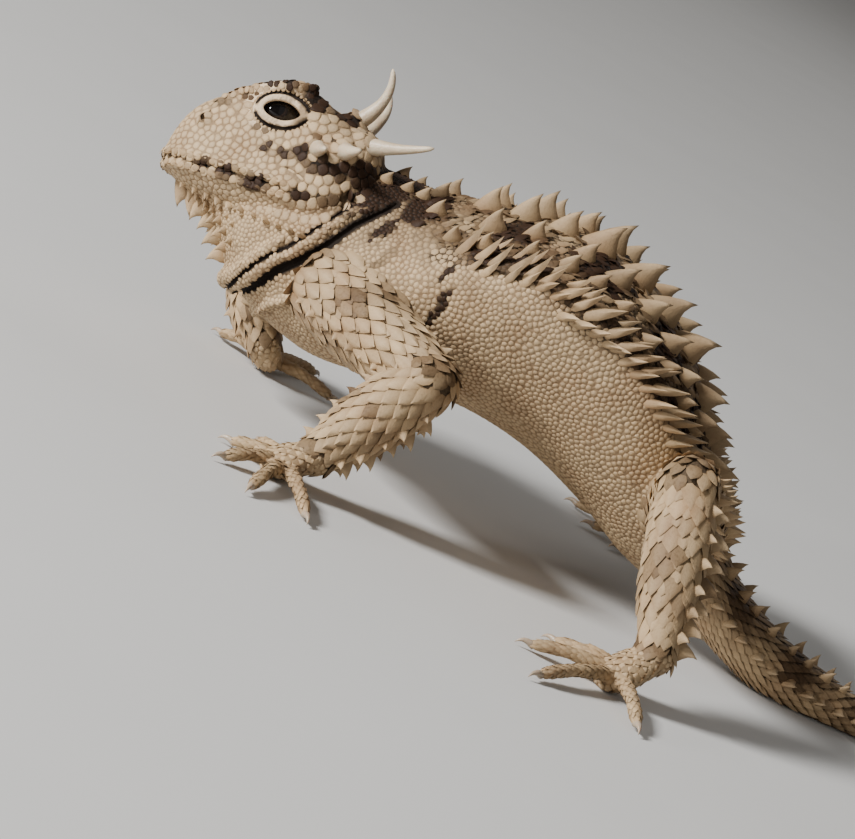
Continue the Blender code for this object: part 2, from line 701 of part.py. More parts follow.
def near_trunk(root, margin):
    sections = trunk_sections()
    for index in range(len(sections)):
        centre, up, side, above, below = trunk_axes(sections, index)
        offset = root - centre
        height = (above if offset.dot(up) > 0 else below) + margin + 1.0
        width = sections[index].half_width + margin + 1.0
        along = abs(offset.dot(side.cross(up)))
        if along < 3.0 and (offset.dot(side) / width) ** 2 + (offset.dot(up) / height) ** 2 < 1.0:
            return True
    return False


def near_leg(root, margin):
    """Whether a spine rooted here would touch the upper part of a leg."""
    for leg in LEGS:
        start, end = Vector(leg.joints[0]), Vector(leg.joints[1])
        share = (root - start).dot(end - start) / (end - start).length_squared
        nearest = start.lerp(end, min(max(share, 0.0), 1.0))
        if (root - nearest).length < leg.radii[0] + margin:
            return True
    return False


def node_at(root):
    """The trunk node in which a point lies."""
    for name, plane in (("head", HEAD_PLANE), ("neck", NECK_PLANE), ("torso", TAIL_PLANE),
                        ("tail_base", TAIL_TIP_PLANE)):
        if (root - plane[0]).dot(plane[1]) > 0:
            return name
    return "tail_tip"


def build_leg(leg, rng, collection):
    """One leg modelled whole, then parted at its knee and ankle into three nodes."""
    found = {}
    root, knee, wrist = (Vector(joint) for joint in leg.joints)
    palm = Vector(leg.palm)
    r_root, r_knee, r_wrist = leg.radii
    upper_path = [root.lerp(knee, share) for share in (0.0, 0.3, 0.6, 0.85, 1.0)]
    upper_radii = [r_root, r_root, 0.5 * (r_root + r_knee), r_knee, 0.75 * r_knee]
    limb = new_object(leg.name, tube(upper_path, upper_radii, LEG_SIDES), collection)
    lower_path = [knee.lerp(wrist, share) for share in (0.0, 0.2, 0.45, 0.75, 1.0)]
    lower_radii = [0.8 * r_knee, r_knee, 0.92 * r_knee, 0.5 * (r_knee + r_wrist), r_wrist]
    pieces = [
        new_object("lower", tube(lower_path, lower_radii, LEG_SIDES), collection),
        new_object("knee", ball(0.98 * r_knee, knee, 10, 6), collection),
        new_object("heel", ball(1.02 * r_wrist, wrist, 10, 6), collection),
    ]
    combine(limb, pieces + foot_pieces(leg, wrist, palm, r_wrist, collection), "UNION")
    surface = surface_of(limb)
    spines = leg_spines(leg, surface, root, knee, rng, collection)
    combine(limb, spines + leg_spines(leg, surface, knee, wrist, rng, collection), "UNION")
    around = new_object("around", trunk_loft(GAP), collection)
    combine(limb, [around, skull(collection, GAP), *neck_folds(collection, GAP)], "DIFFERENCE")
    fold = (root - knee).normalized() - (wrist - knee).normalized()
    ankle_way = (knee - wrist).normalized() + (wrist - palm).normalized()
    ankle = wrist + (knee - wrist).normalized() * (0.5 * r_wrist)
    floor = Vector((0, 0, -GAP / 2))
    for name, cuts in (
        ("upper", ((knee, fold, True),)),
        ("lower", ((knee, fold, False), (ankle, ankle_way, True))),
        ("foot", ((knee, fold, False), (ankle, ankle_way, False), (floor, Vector((0, 0, 1)), True))),
    ):
        piece = duplicate(limb, f"{leg.name}_{name}", collection)
        for point, direction, keep_positive in cuts:
            cut_flat(piece, point, direction, keep_positive)
        keep_largest(piece)
        found[piece.name] = piece
    bpy.data.objects.remove(limb)
    return found


def foot_pieces(leg, wrist, palm, r_wrist, collection):
    """The palm or sole, five digits and their claws, as closed pieces that overlap."""
    path = [wrist.lerp(palm, share) for share in (-0.1, 0.5, 1.0, 1.45)]
    radii = [0.95 * r_wrist, 1.1 * r_wrist, 1.1 * r_wrist, 0.6 * r_wrist]
    pieces = [new_object("sole", tube(path, radii, LEG_SIDES, SOLE_SQUASH), collection)]
    for x, y in leg.digits:
        tip = Vector((x, y, DIGIT_RADIUS - FLAT_DEPTH))
        start = palm.lerp(wrist, 0.15)
        start.z = min(start.z, TOE_START)
        bend = start.lerp(tip, 0.5) + Vector((0, 0, TOE_RISE))
        toe_radii = [DIGIT_RADIUS * size for size in TOE_SIZES]
        toe = tube(arc_points(start, bend, tip, len(TOE_SIZES)), toe_radii, DIGIT_SIDES)
        pieces.append(new_object("toe", toe, collection))
        outward = (tip - start) * Vector((1, 1, 0))
        outward.normalize()
        claw_path = arc_points(
            tip - outward * CLAW_SUNK,
            tip + outward * (0.6 * CLAW_LENGTH) + Vector((0, 0, CLAW_RISE)),
            tip + outward * CLAW_LENGTH - Vector((0, 0, CLAW_DROP)),
            len(CLAW_SIZES),
        )
        claw_radii = [CLAW_RADIUS * size for size in CLAW_SIZES]
        pieces.append(new_object("claw", tube(claw_path, claw_radii, 4), collection))
    return pieces


def main():
    for old in list(bpy.data.objects):
        bpy.data.objects.remove(old)
    lizard = bpy.data.collections.new("horned_lizard")
    bpy.context.scene.collection.children.link(lizard)
    rng = random.Random(SEED)

    body = new_object("body", trunk_loft(), lizard)
    combine(body, [skull(lizard), *brow_ridges(lizard), *neck_folds(lizard)], "UNION")
    parts = build_eyes(body, lizard)
    detail_head(body, rng, lizard)
    combine(body, trunk_spines(rng, lizard), "UNION")
    parts.update(part_trunk(body, lizard))
    parts.update(build_horns(lizard))
    for leg in LEGS:
        parts.update(build_leg(leg, rng, lizard))

    corners = [vert.co for obj in parts.values() for vert in obj.data.vertices]
    middle_x = (min(place.x for place in corners) + max(place.x for place in corners)) / 2
    middle_y = (min(place.y for place in corners) + max(place.y for place in corners)) / 2
    finishes = {
        "eye": material("eye", EYE_COLOUR, 0.08),
        "horn": material("horn", HORN_COLOUR, 0.5),
        "skin": material("skin", SKIN, 0.75),
    }
    for name, obj in parts.items():
        kind = name.split("_")[0]
        finish(obj, finishes.get(kind, finishes["skin"]), Vector((-middle_x, -middle_y, 0.0)))


main()
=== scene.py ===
"""Horned lizard: the looks of a still, life-size model that rests on its feet and its tail.

Shapes are worked out in millimetres on the model's own axes, +X to the head, +Y to the animal's left
and +Z up, and each finished piece is brought to metres on the frame's origin.
"""

from __future__ import annotations

import logging
import math
from collections.abc import Sequence
from dataclasses import dataclass, field
from enum import Enum

import bmesh
import bpy
import numpy as np
from mathutils import Matrix, Vector, noise
from mathutils.bvhtree import BVHTree
from mathutils.kdtree import KDTree


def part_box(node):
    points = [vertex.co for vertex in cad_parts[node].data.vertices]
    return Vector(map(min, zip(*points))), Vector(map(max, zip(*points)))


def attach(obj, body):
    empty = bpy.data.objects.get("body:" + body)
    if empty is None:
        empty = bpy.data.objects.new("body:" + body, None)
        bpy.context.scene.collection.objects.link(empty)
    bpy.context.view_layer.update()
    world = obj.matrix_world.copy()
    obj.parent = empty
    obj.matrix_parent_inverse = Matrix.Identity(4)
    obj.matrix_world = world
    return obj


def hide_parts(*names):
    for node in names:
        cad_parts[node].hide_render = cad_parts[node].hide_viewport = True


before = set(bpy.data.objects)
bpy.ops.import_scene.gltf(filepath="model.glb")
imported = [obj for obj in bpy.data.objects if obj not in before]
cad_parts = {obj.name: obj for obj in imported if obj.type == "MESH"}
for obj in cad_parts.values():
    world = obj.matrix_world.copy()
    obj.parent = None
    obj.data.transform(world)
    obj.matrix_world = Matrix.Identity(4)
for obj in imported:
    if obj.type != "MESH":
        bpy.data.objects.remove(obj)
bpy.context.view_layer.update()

LOG = logging.getLogger("horned_lizard")
BODY = "root"
MM = 0.001
GAP = 0.3  # between an eye and its socket
SEED = 29
TAU = 2.0 * math.pi


class Side(Enum):
    """A side of the animal, as the sign of its Y axis."""

    LEFT = 1
    RIGHT = -1

    @property
    def word(self) -> str:
        """The side's name in piece and node names."""
        return self.name.lower()


class Region(Enum):
    """What a stretch of skin belongs to, which sets the scales that it carries."""

    TRUNK = 0
    TAIL = 1
    HEAD = 2
    UPPER = 3
    LOWER = 4
    FOOT = 5
    TOE = 6


class Marking(Enum):
    """How strongly the scales of a coat piece take the dark pattern and its painted shade."""

    FULL = 1.0
    SOFT = 0.25


# The head's own axes start at the snout tip, on the line of the mouth: back is -X, out is +Y on the left
SNOUT = Vector((75.6, 0.0, 20.1))
HEAD_YAW = math.radians(4.0)
HEAD_PITCH = math.radians(16.0)
HEAD_ROLL = math.radians(20.0)
HEAD = (
    Matrix.Translation(SNOUT)
    @ Matrix.Rotation(HEAD_YAW, 4, "Z")
    @ Matrix.Rotation(HEAD_PITCH, 4, "Y")
    @ Matrix.Rotation(HEAD_ROLL, 4, "X")
)
HEAD_TURN = HEAD.to_3x3()

EYE_BACK = 12.4
EYE_OUT = 4.9
EYE_UP = 7.6
EYE_RADIUS = 2.6


def head_point(back: float, out: float, up: float, side: int = 1) -> Vector:
    """A place on the head's axes, brought to the model's.

    Args:
        back: Distance behind the snout tip.
        out: Distance from the middle plane.
        up: Height over the line of the mouth at the snout.
        side: 1 for the left side, -1 for the right.

    Returns:
        The place in the model.
    """
    return HEAD @ Vector((-back, side * out, up))


def head_way(forward: float, left: float, up: float) -> Vector:
    """A direction on the head's axes, of length one, brought to the model's."""
    return (HEAD_TURN @ Vector((forward, left, up))).normalized()


def head_places(points: np.ndarray) -> np.ndarray:
    """Places in the model, brought to the head's axes."""
    inverse = np.array(HEAD.inverted())
    return points @ inverse[:3, :3].T + inverse[:3, 3]


def eye_centre(side: Side) -> Vector:
    """The middle of the eye on one side."""
    return head_point(EYE_BACK, EYE_OUT, EYE_UP, side.value)


def model_shift() -> Vector:
    """How far the frame's origin lies from the model's own, worked out from the left eye's place."""
    low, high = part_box("eye_left")
    return (low + high) / (2 * MM) - eye_centre(Side.LEFT)


def deselect_all() -> None:
    """Leaves nothing selected, so that the next operator acts only on what is selected after this."""
    if bpy.context.mode != "OBJECT":
        bpy.ops.object.mode_set(mode="OBJECT")
    bpy.ops.object.select_all(action="DESELECT")


def activate(piece: bpy.types.Object) -> None:
    """Selects one object alone and makes it the active one.

    Args:
        piece: The object.
    """
    deselect_all()
    piece.select_set(True)
    bpy.context.view_layer.objects.active = piece


def apply_modifier(piece: bpy.types.Object, kind: str, **settings: object) -> None:
    """Adds a modifier with these settings and applies it.

    Args:
        piece: The object that it changes.
        kind: Blender's name for the modifier's type.
        settings: Values of the modifier.
    """
    activate(piece)
    modifier = piece.modifiers.new(kind.lower(), kind)
    for name, value in settings.items():
        setattr(modifier, name, value)
    bpy.ops.object.modifier_apply(modifier=modifier.name)


def combine(piece: bpy.types.Object, others: Sequence[bpy.types.Object], operation: str) -> None:
    """One Boolean of a piece with closed objects, which are removed after it.

    Args:
        piece: The object that it changes.
        others: Closed meshes that are joined to it or cut from it.
        operation: UNION or DIFFERENCE.
    """
    helpers = bpy.data.collections.new("helpers")
    bpy.context.scene.collection.children.link(helpers)
    for other in others:
        for home in list(other.users_collection):
            home.objects.unlink(other)
        helpers.objects.link(other)
    settings = {"operand_type": "COLLECTION", "collection": helpers, "solver": "MANIFOLD"}
    apply_modifier(piece, "BOOLEAN", operation=operation, **settings)
    for other in others:
        bpy.data.objects.remove(other)
    bpy.data.collections.remove(helpers)


def smooth_rows(rows: Sequence[Sequence[float]], per_span: int) -> np.ndarray:
    """Rows of numbers with others set between them on a Catmull-Rom curve.

    Args:
        rows: The rows that the curve passes through.
        per_span: How many rows each span gives.

    Returns:
        An array with one row for each place on the curve.
    """
    table = np.array(rows, float)
    padded = np.vstack([2 * table[0] - table[1], table, 2 * table[-1] - table[-2]])
    found = []
    for index in range(1, len(padded) - 2):
        a, b, c, d = padded[index - 1:index + 3]
        square, cube = 2 * a - 5 * b + 4 * c - d, 3 * b - a - 3 * c + d
        for step in range(per_span):
            t = step / per_span
            found.append(0.5 * (2 * b + (c - a) * t + square * t * t + cube * t ** 3))
    found.append(table[-1])
    return np.array(found)


def arc_points(start: Vector, bend: Vector, end: Vector, count: int) -> list[Vector]:
    """Points on a smooth curve from start to end, drawn towards bend."""
    shares = [step / (count - 1) for step in range(count)]
    return [start * (1 - t) ** 2 + bend * (2 * t * (1 - t)) + end * t ** 2 for t in shares]


def dense_path(path: Sequence[Vector], per_span: int) -> list[Vector]:
    """A path with points set between its own."""
    shares = [step / per_span for step in range(per_span)]
    return [*(here.lerp(after, share) for here, after in zip(path, path[1:]) for share in shares), path[-1]]


def unit_rows(rows: np.ndarray) -> np.ndarray:
    """The rows of an array, each brought to length one."""
    return rows / np.maximum(np.linalg.norm(rows, axis=1, keepdims=True), 1e-9)


def smooth_step(values: np.ndarray, low: float, high: float) -> np.ndarray:
    """0 below low, 1 above high and a smooth rise between them. It falls where high is under low."""
    t = np.clip((values - low) / (high - low), 0.0, 1.0)
    return t * t * (3.0 - 2.0 * t)


def noise_rows(points: np.ndarray, scale: float, offset: float) -> np.ndarray:
    """Smooth noise at each point: so many features to a millimetre, in a pattern moved by the offset."""
    shift = Vector((offset, -offset, 0.7 * offset))
    return np.array([noise.noise(Vector(point) * scale + shift) for point in points])


def search_tree(places: Sequence) -> KDTree:
    """A tree that finds the nearest of these places.

    Args:
        places: Points in the model.

    Returns:
        The tree, which gives each place by its number.
    """
    tree = KDTree(len(places))
    for index, place in enumerate(places):
        tree.insert(place, index)
    tree.balance()
    return tree


def reach_of(points: np.ndarray, places: Sequence) -> np.ndarray:
    """How far each point is from the nearest of these places."""
    tree = search_tree(places)
    return np.array([tree.find(point)[2] for point in points.tolist()])


def distance_to(points: np.ndarray, place: Vector) -> np.ndarray:
    """How far each point is from one place."""
    return np.linalg.norm(points - np.array(place), axis=1)


def eye_distance(points: np.ndarray) -> np.ndarray:
    """How far each point is from the nearer eye's centre."""
    return np.minimum(*(distance_to(points, eye_centre(side)) for side in Side))


def read_rows(rows: bpy.types.bpy_prop_collection, name: str, width: int, kind: type = float) -> np.ndarray:
    """Reads a property of every point, edge or triangle of a mesh.

    Args:
        rows: The mesh's points, edges or triangles.
        name: The property.
        width: How many numbers it has.
        kind: Their type.

    Returns:
        An array with one row for each.
    """
    values = np.empty(len(rows) * width, kind)
    rows.foreach_get(name, values)
    return values.reshape(-1, width)


def carry(mesh: bpy.types.Mesh, **columns: Sequence[float]) -> None:
    """Gives each point of a mesh these values, by name, for a finish to read."""
    for name, values in columns.items():
        mesh.attributes.new(name, "FLOAT", "POINT").data.foreach_set("value", np.asarray(values, np.float32))


@dataclass(frozen=True)
class Chart:
    """A rectangle of the unit square into which the skin of one form unrolls."""

    left: float
    bottom: float
    width: float
    height: float

    def at(self, along: np.ndarray, around: np.ndarray) -> np.ndarray:
        """The place in the unit square for shares along and around the form."""
        return np.stack([self.left + self.width * along, self.bottom + self.height * around], axis=-1)


@dataclass
class Form:
    """A closed form of rings, from its front or root to its tip: the trunk, the skull, a limb or a toe."""

    name: str
    region: Region
    rings: np.ndarray
    chart: Chart = Chart(0.0, 0.0, 1.0, 1.0)
    levels: int = 0

    @property
    def centres(self) -> np.ndarray:
        """The middle of each ring."""
        return self.rings.mean(axis=1)

    def build(self) -> bpy.types.Object:
        """Extrudes a disc from ring to ring and sets each ring's points in place.

        Returns:
            The closed object, still in millimetres.
        """
        sides = self.rings.shape[1]
        deselect_all()
        bpy.ops.mesh.primitive_circle_add(vertices=sides, radius=1.0, fill_type="NGON")
        piece = bpy.context.object
        piece.name = self.name
        bpy.ops.object.mode_set(mode="EDIT")
        cage = bmesh.from_edit_mesh(piece.data)
        column = cage.verts.layers.int.new("column")
        cage.verts.ensure_lookup_table()
        for index, vert in enumerate(cage.verts):
            vert[column] = index
            vert.co = self.rings[0][index]
        bmesh.update_edit_mesh(piece.data)
        for ring in self.rings[1:]:
            bpy.ops.mesh.extrude_region_move()
            cage = bmesh.from_edit_mesh(piece.data)
            column = cage.verts.layers.int["column"]
            for vert in cage.verts:
                if vert.select:
                    vert.co = ring[vert[column]]
            bmesh.update_edit_mesh(piece.data, loop_triangles=False)
        bpy.ops.mesh.select_all(action="SELECT")
        bpy.ops.mesh.normals_make_consistent(inside=False)
        bpy.ops.object.mode_set(mode="OBJECT")
        if self.levels:
            apply_modifier(piece, "SUBSURF", levels=self.levels, render_levels=self.levels)
        return piece


def tube_rings(path: Sequence[Vector], radii: Sequence[float], sides: int, squash: float = 1.0) -> np.ndarray:
    """Rings round a path, square to it and without twist.

    Args:
        path: The points of the middle line.
        radii: The radius at each.
        sides: How many points a ring has.
        squash: Share of the radius that is left in the rings' height.

    Returns:
        An array of rings, points and coordinates.
    """
    first = (path[1] - path[0]).normalized()
    across = first.cross(Vector((0, 0, 1) if abs(first.z) < 0.9 else (1, 0, 0)))
    turns = [TAU * step / sides for step in range(sides)]
    rings = []
    for index, point in enumerate(path):
        along = (path[min(index + 1, len(path) - 1)] - path[max(index - 1, 0)]).normalized()
        across = (across - along * across.dot(along)).normalized()
        rise = across.cross(along) * squash
        ways = [across * math.cos(turn) + rise * math.sin(turn) for turn in turns]
        rings.append([point + way * radii[index] for way in ways])
    return np.array(rings)


def tube(name: str, path: Sequence[Vector], radii: Sequence[float], sides: int = 10) -> bpy.types.Object:
    """A closed tube as an object of its own, for joins and cuts."""
    return Form(name, Region.HEAD, tube_rings(path, radii, sides)).build()


def ball(name: str, centre: Vector, radius: float, stretch: Sequence[float] | None = None,
         fine: int = 32) -> bpy.types.Object:
    """A ball, stretched on the head's axes if a stretch is given.

    Args:
        name: The object's name.
        centre: Its middle, in the model.
        radius: Its radius.
        stretch: Its reach along each of the head's axes, as shares of the radius.
        fine: Segments round it.

    Returns:
        The ball, with its place in its mesh.
    """
    deselect_all()
    bpy.ops.mesh.primitive_uv_sphere_add(segments=fine, ring_count=fine // 2, radius=radius)
    made = bpy.context.object
    made.name = name
    turn = HEAD_TURN.to_4x4() @ Matrix.Diagonal((*stretch, 1.0)) if stretch else Matrix.Identity(4)
    made.data.transform(Matrix.Translation(centre) @ turn)
    return made


@dataclass(frozen=True)
class Station:
    """A section of the trunk, seen from the left: its top and bottom, half width and place to the left."""

    top_x: float
    top_z: float
    bottom_x: float
    bottom_z: float
    half_width: float
    widest: float
    y: float


STATIONS = [
    (68.0, 24.5, 71.0, 18.6, 3.6, 0.5, -2.0),
    (63.0, 28.0, 66.5, 15.9, 6.6, 0.5, -1.6),
    (57.0, 31.0, 63.7, 13.8, 9.0, 0.5, -1.0),
    (51.5, 32.4, 61.7, 11.8, 9.8, 0.5, -0.4),
    (47.6, 32.9, 58.4, 10.2, 10.8, 0.52, 0.0),
    (44.0, 33.4, 53.6, 9.0, 12.4, 0.56, 0.0),
    (40.0, 34.4, 48.0, 8.6, 14.2, 0.62, 0.0),
    (34.5, 36.0, 40.2, 10.2, 16.2, 0.72, 0.0),
    (28.0, 37.2, 31.0, 12.2, 17.6, 0.79, 0.0),
    (20.5, 36.6, 21.5, 12.0, 17.8, 0.8, 0.0),
    (13.5, 33.8, 12.2, 9.6, 16.8, 0.76, 0.0),
    (8.0, 30.0, 4.8, 6.6, 14.6, 0.7, 0.0),
    (2.8, 24.0, -1.0, 5.2, 11.6, 0.62, 0.0),
    (-1.8, 17.8, -5.2, 4.2, 8.6, 0.56, 0.0),
    (-6.4, 12.6, -9.0, 2.8, 6.4, 0.52, 0.0),
    (-11.8, 9.2, -13.4, 1.2, 5.0, 0.5, -0.1),
    (-18.0, 6.9, -18.6, -0.2, 4.0, 0.5, -0.7),
    (-25.0, 5.2, -25.2, -0.3, 3.1, 0.5, -2.4),
    (-32.0, 4.0, -32.0, -0.3, 2.3, 0.5, -5.4),
    (-38.4, 3.0, -38.4, -0.3, 1.6, 0.5, -9.4),
    (-43.8, 2.0, -43.8, -0.2, 0.9, 0.5, -14.2),
    (-46.4, 1.2, -46.4, -0.1, 0.5, 0.5, -17.0),
]
TAIL_STARTS = 14.0  # the station at which the tail begins


@dataclass
class Trunk:
    """The body from the throat to the tip of the tail, as one loft."""

    per_span: int = 8
    sides: int = 96
    stations: list[Station] = field(default_factory=list)

    def __post_init__(self) -> None:
        """Sets sections between the stations."""
        self.stations = [Station(*row) for row in smooth_rows(STATIONS, self.per_span)]

    def point(self, station: float, angle: float, grow: float = 0.0) -> Vector:
        """A point of the loft.

        Args:
            station: Which station, counted from the throat, with a share.
            angle: 0 is on the back and a quarter turn on the left side.
            grow: How far over the surface.

        Returns:
            The point in the model.
        """
        index = min(max(int(round(station * self.per_span)), 0), len(self.stations) - 1)
        here = self.stations[index]
        before = self.stations[max(index - 1, 0)]
        after = self.stations[min(index + 1, len(self.stations) - 1)]
        top = Vector((here.top_x, here.y, here.top_z))
        bottom = Vector((here.bottom_x, here.y, here.bottom_z))
        along_x = (before.top_x + before.bottom_x - after.top_x - after.bottom_x) / 2
        side = Vector((after.y - before.y, along_x, 0.0)).normalized()
        height = (top - bottom).length
        up = (top - bottom) / height
        centre = bottom + (top - bottom) * here.widest
        reach = height * (1 - here.widest if math.cos(angle) > 0 else here.widest) + grow
        return centre + side * ((here.half_width + grow) * math.sin(angle)) + up * (reach * math.cos(angle))

    def form(self) -> Form:
        """The whole loft, ring by ring.

        Returns:
            The form, from the neck's root to the tail's tip.
        """
        turns = [TAU * step / self.sides for step in range(self.sides)]
        places = [index / self.per_span for index in range(len(self.stations))]
        rings = [[self.point(place, turn) for turn in turns] for place in places]
        return Form("trunk", Region.TRUNK, np.array(rings), Chart(0.0, 0.0, 1.0, 0.55))

    def length_between(self, station: float, angle: float, step: float = 0.125) -> float:
        """How far apart the surface's points are, one step of a station apart."""
        return (self.point(station + step, angle) - self.point(station, angle)).length / step


@dataclass
class Skull:
    """The head's cage of sections, each behind the last: (out, up) points from the crown to the throat."""

    sections: tuple = (
        (0.0, [(0.0, 2.0), (0.8, 1.9), (1.3, 1.0), (1.5, 0.0), (1.1, -0.6), (0.0, -0.8)]),
        (1.1, [(0.0, 5.0), (1.7, 4.6), (2.7, 2.4), (3.1, -0.1), (2.5, -1.3), (0.0, -1.8)]),
        (2.6, [(0.0, 7.2), (2.7, 6.9), (3.8, 3.4), (4.4, -0.3), (3.7, -2.0), (0.0, -2.9)]),
        (4.8, [(0.0, 8.5), (3.7, 8.5), (4.9, 4.2), (5.6, -0.6), (4.9, -2.8), (0.0, -4.2)]),
        (7.4, [(0.0, 9.2), (5.0, 9.9), (5.9, 5.0), (6.9, -0.9), (6.3, -3.4), (0.0, -5.4)]),
        (10.6, [(0.0, 9.8), (6.9, 10.9), (6.9, 6.0), (8.2, -1.3), (7.6, -4.0), (0.0, -6.4)]),
        (13.6, [(0.0, 10.2), (8.0, 11.7), (7.9, 6.4), (9.3, -1.6), (8.7, -4.4), (0.0, -7.0)]),
        (16.6, [(0.0, 10.2), (8.4, 12.0), (9.2, 6.2), (10.2, -2.0), (9.5, -4.7), (0.0, -7.4)]),
        (18.6, [(0.0, 9.6), (7.3, 9.8), (10.2, 5.4), (10.8, -2.2), (9.9, -4.8), (0.0, -7.4)]),
        (21.6, [(0.0, 9.2), (6.6, 8.9), (10.4, 5.0), (10.6, -2.4), (9.6, -4.6), (0.0, -7.2)]),
        (24.6, [(0.0, 8.4), (6.0, 7.9), (9.2, 4.4), (9.0, -2.4), (8.2, -4.2), (0.0, -6.6)]),
        (26.4, [(0.0, 6.4), (4.4, 6.0), (6.6, 3.4), (6.6, -1.8), (6.0, -3.4), (0.0, -5.2)]),
    )
    ridge_radii: tuple[float, ...] = (0.4, 0.7, 0.85, 0.82, 0.45)
    ridge_sunk: float = 1.0
    ridge_in: float = 0.93  # of the corner's way out
    ridge_first: int = 3

    def form(self) -> Form:
        """The skull as a cage that is subdivided when it is built.

        Returns:
            The form, from the snout to the nape.
        """
        rings = []
        for back, half in self.sections:
            left = [head_point(back, out, up) for out, up in half]
            right = [head_point(back, out, up, -1) for out, up in reversed(half[1:-1])]
            rings.append(left + right)
        return Form("skull", Region.HEAD, np.array(rings), Chart(0.0, 0.56, 0.35, 0.44), levels=3)

    def ridge_paths(self) -> list[list[Vector]]:
        """The middle lines of the brow ridges, along the corners of the sections.

        Returns:
            A path for each side.
        """
        sections = self.sections[self.ridge_first:self.ridge_first + len(self.ridge_radii)]
        corners = [
            (back, self.ridge_in * half[1][0], half[1][1] - self.ridge_sunk) for back, half in sections
        ]
        return [[head_point(*corner, side.value) for corner in corners] for side in Side]

    def ridges(self) -> list[bpy.types.Object]:
        """The brow ridges that overhang the eyes."""
        return [tube("ridge", path, self.ridge_radii) for path in self.ridge_paths()]


@dataclass(frozen=True)
class Horn:
    """A horn on the head's axes: where it starts, bends and ends (back, out, up), and its root's radius."""

    name: str
    root: tuple[float, float, float]
    bend: tuple[float, float, float]
    tip: tuple[float, float, float]
    radius: float

    def path(self, side: Side, count: int) -> list[Vector]:
        """The horn's middle line on one side."""
        start, bend, end = (head_point(*place, side.value) for place in (self.root, self.bend, self.tip))
        return arc_points(start, bend, end, count)


HORNS = (
    Horn("occipital", (20.8, 4.4, 8.0), (25.8, 5.3, 11.6), (24.4, 6.6, 15.6), 1.2),
    Horn("temporal_1", (23.0, 7.6, 5.6), (27.2, 9.4, 5.4), (31.4, 11.6, 6.4), 1.2),
    Horn("temporal_2", (21.0, 9.4, 4.0), (22.2, 11.8, 3.6), (23.2, 13.8, 3.7), 1.25),
    Horn("temporal_3", (18.0, 9.4, 3.6), (18.6, 11.2, 3.2), (19.2, 12.9, 3.1), 1.15),
)


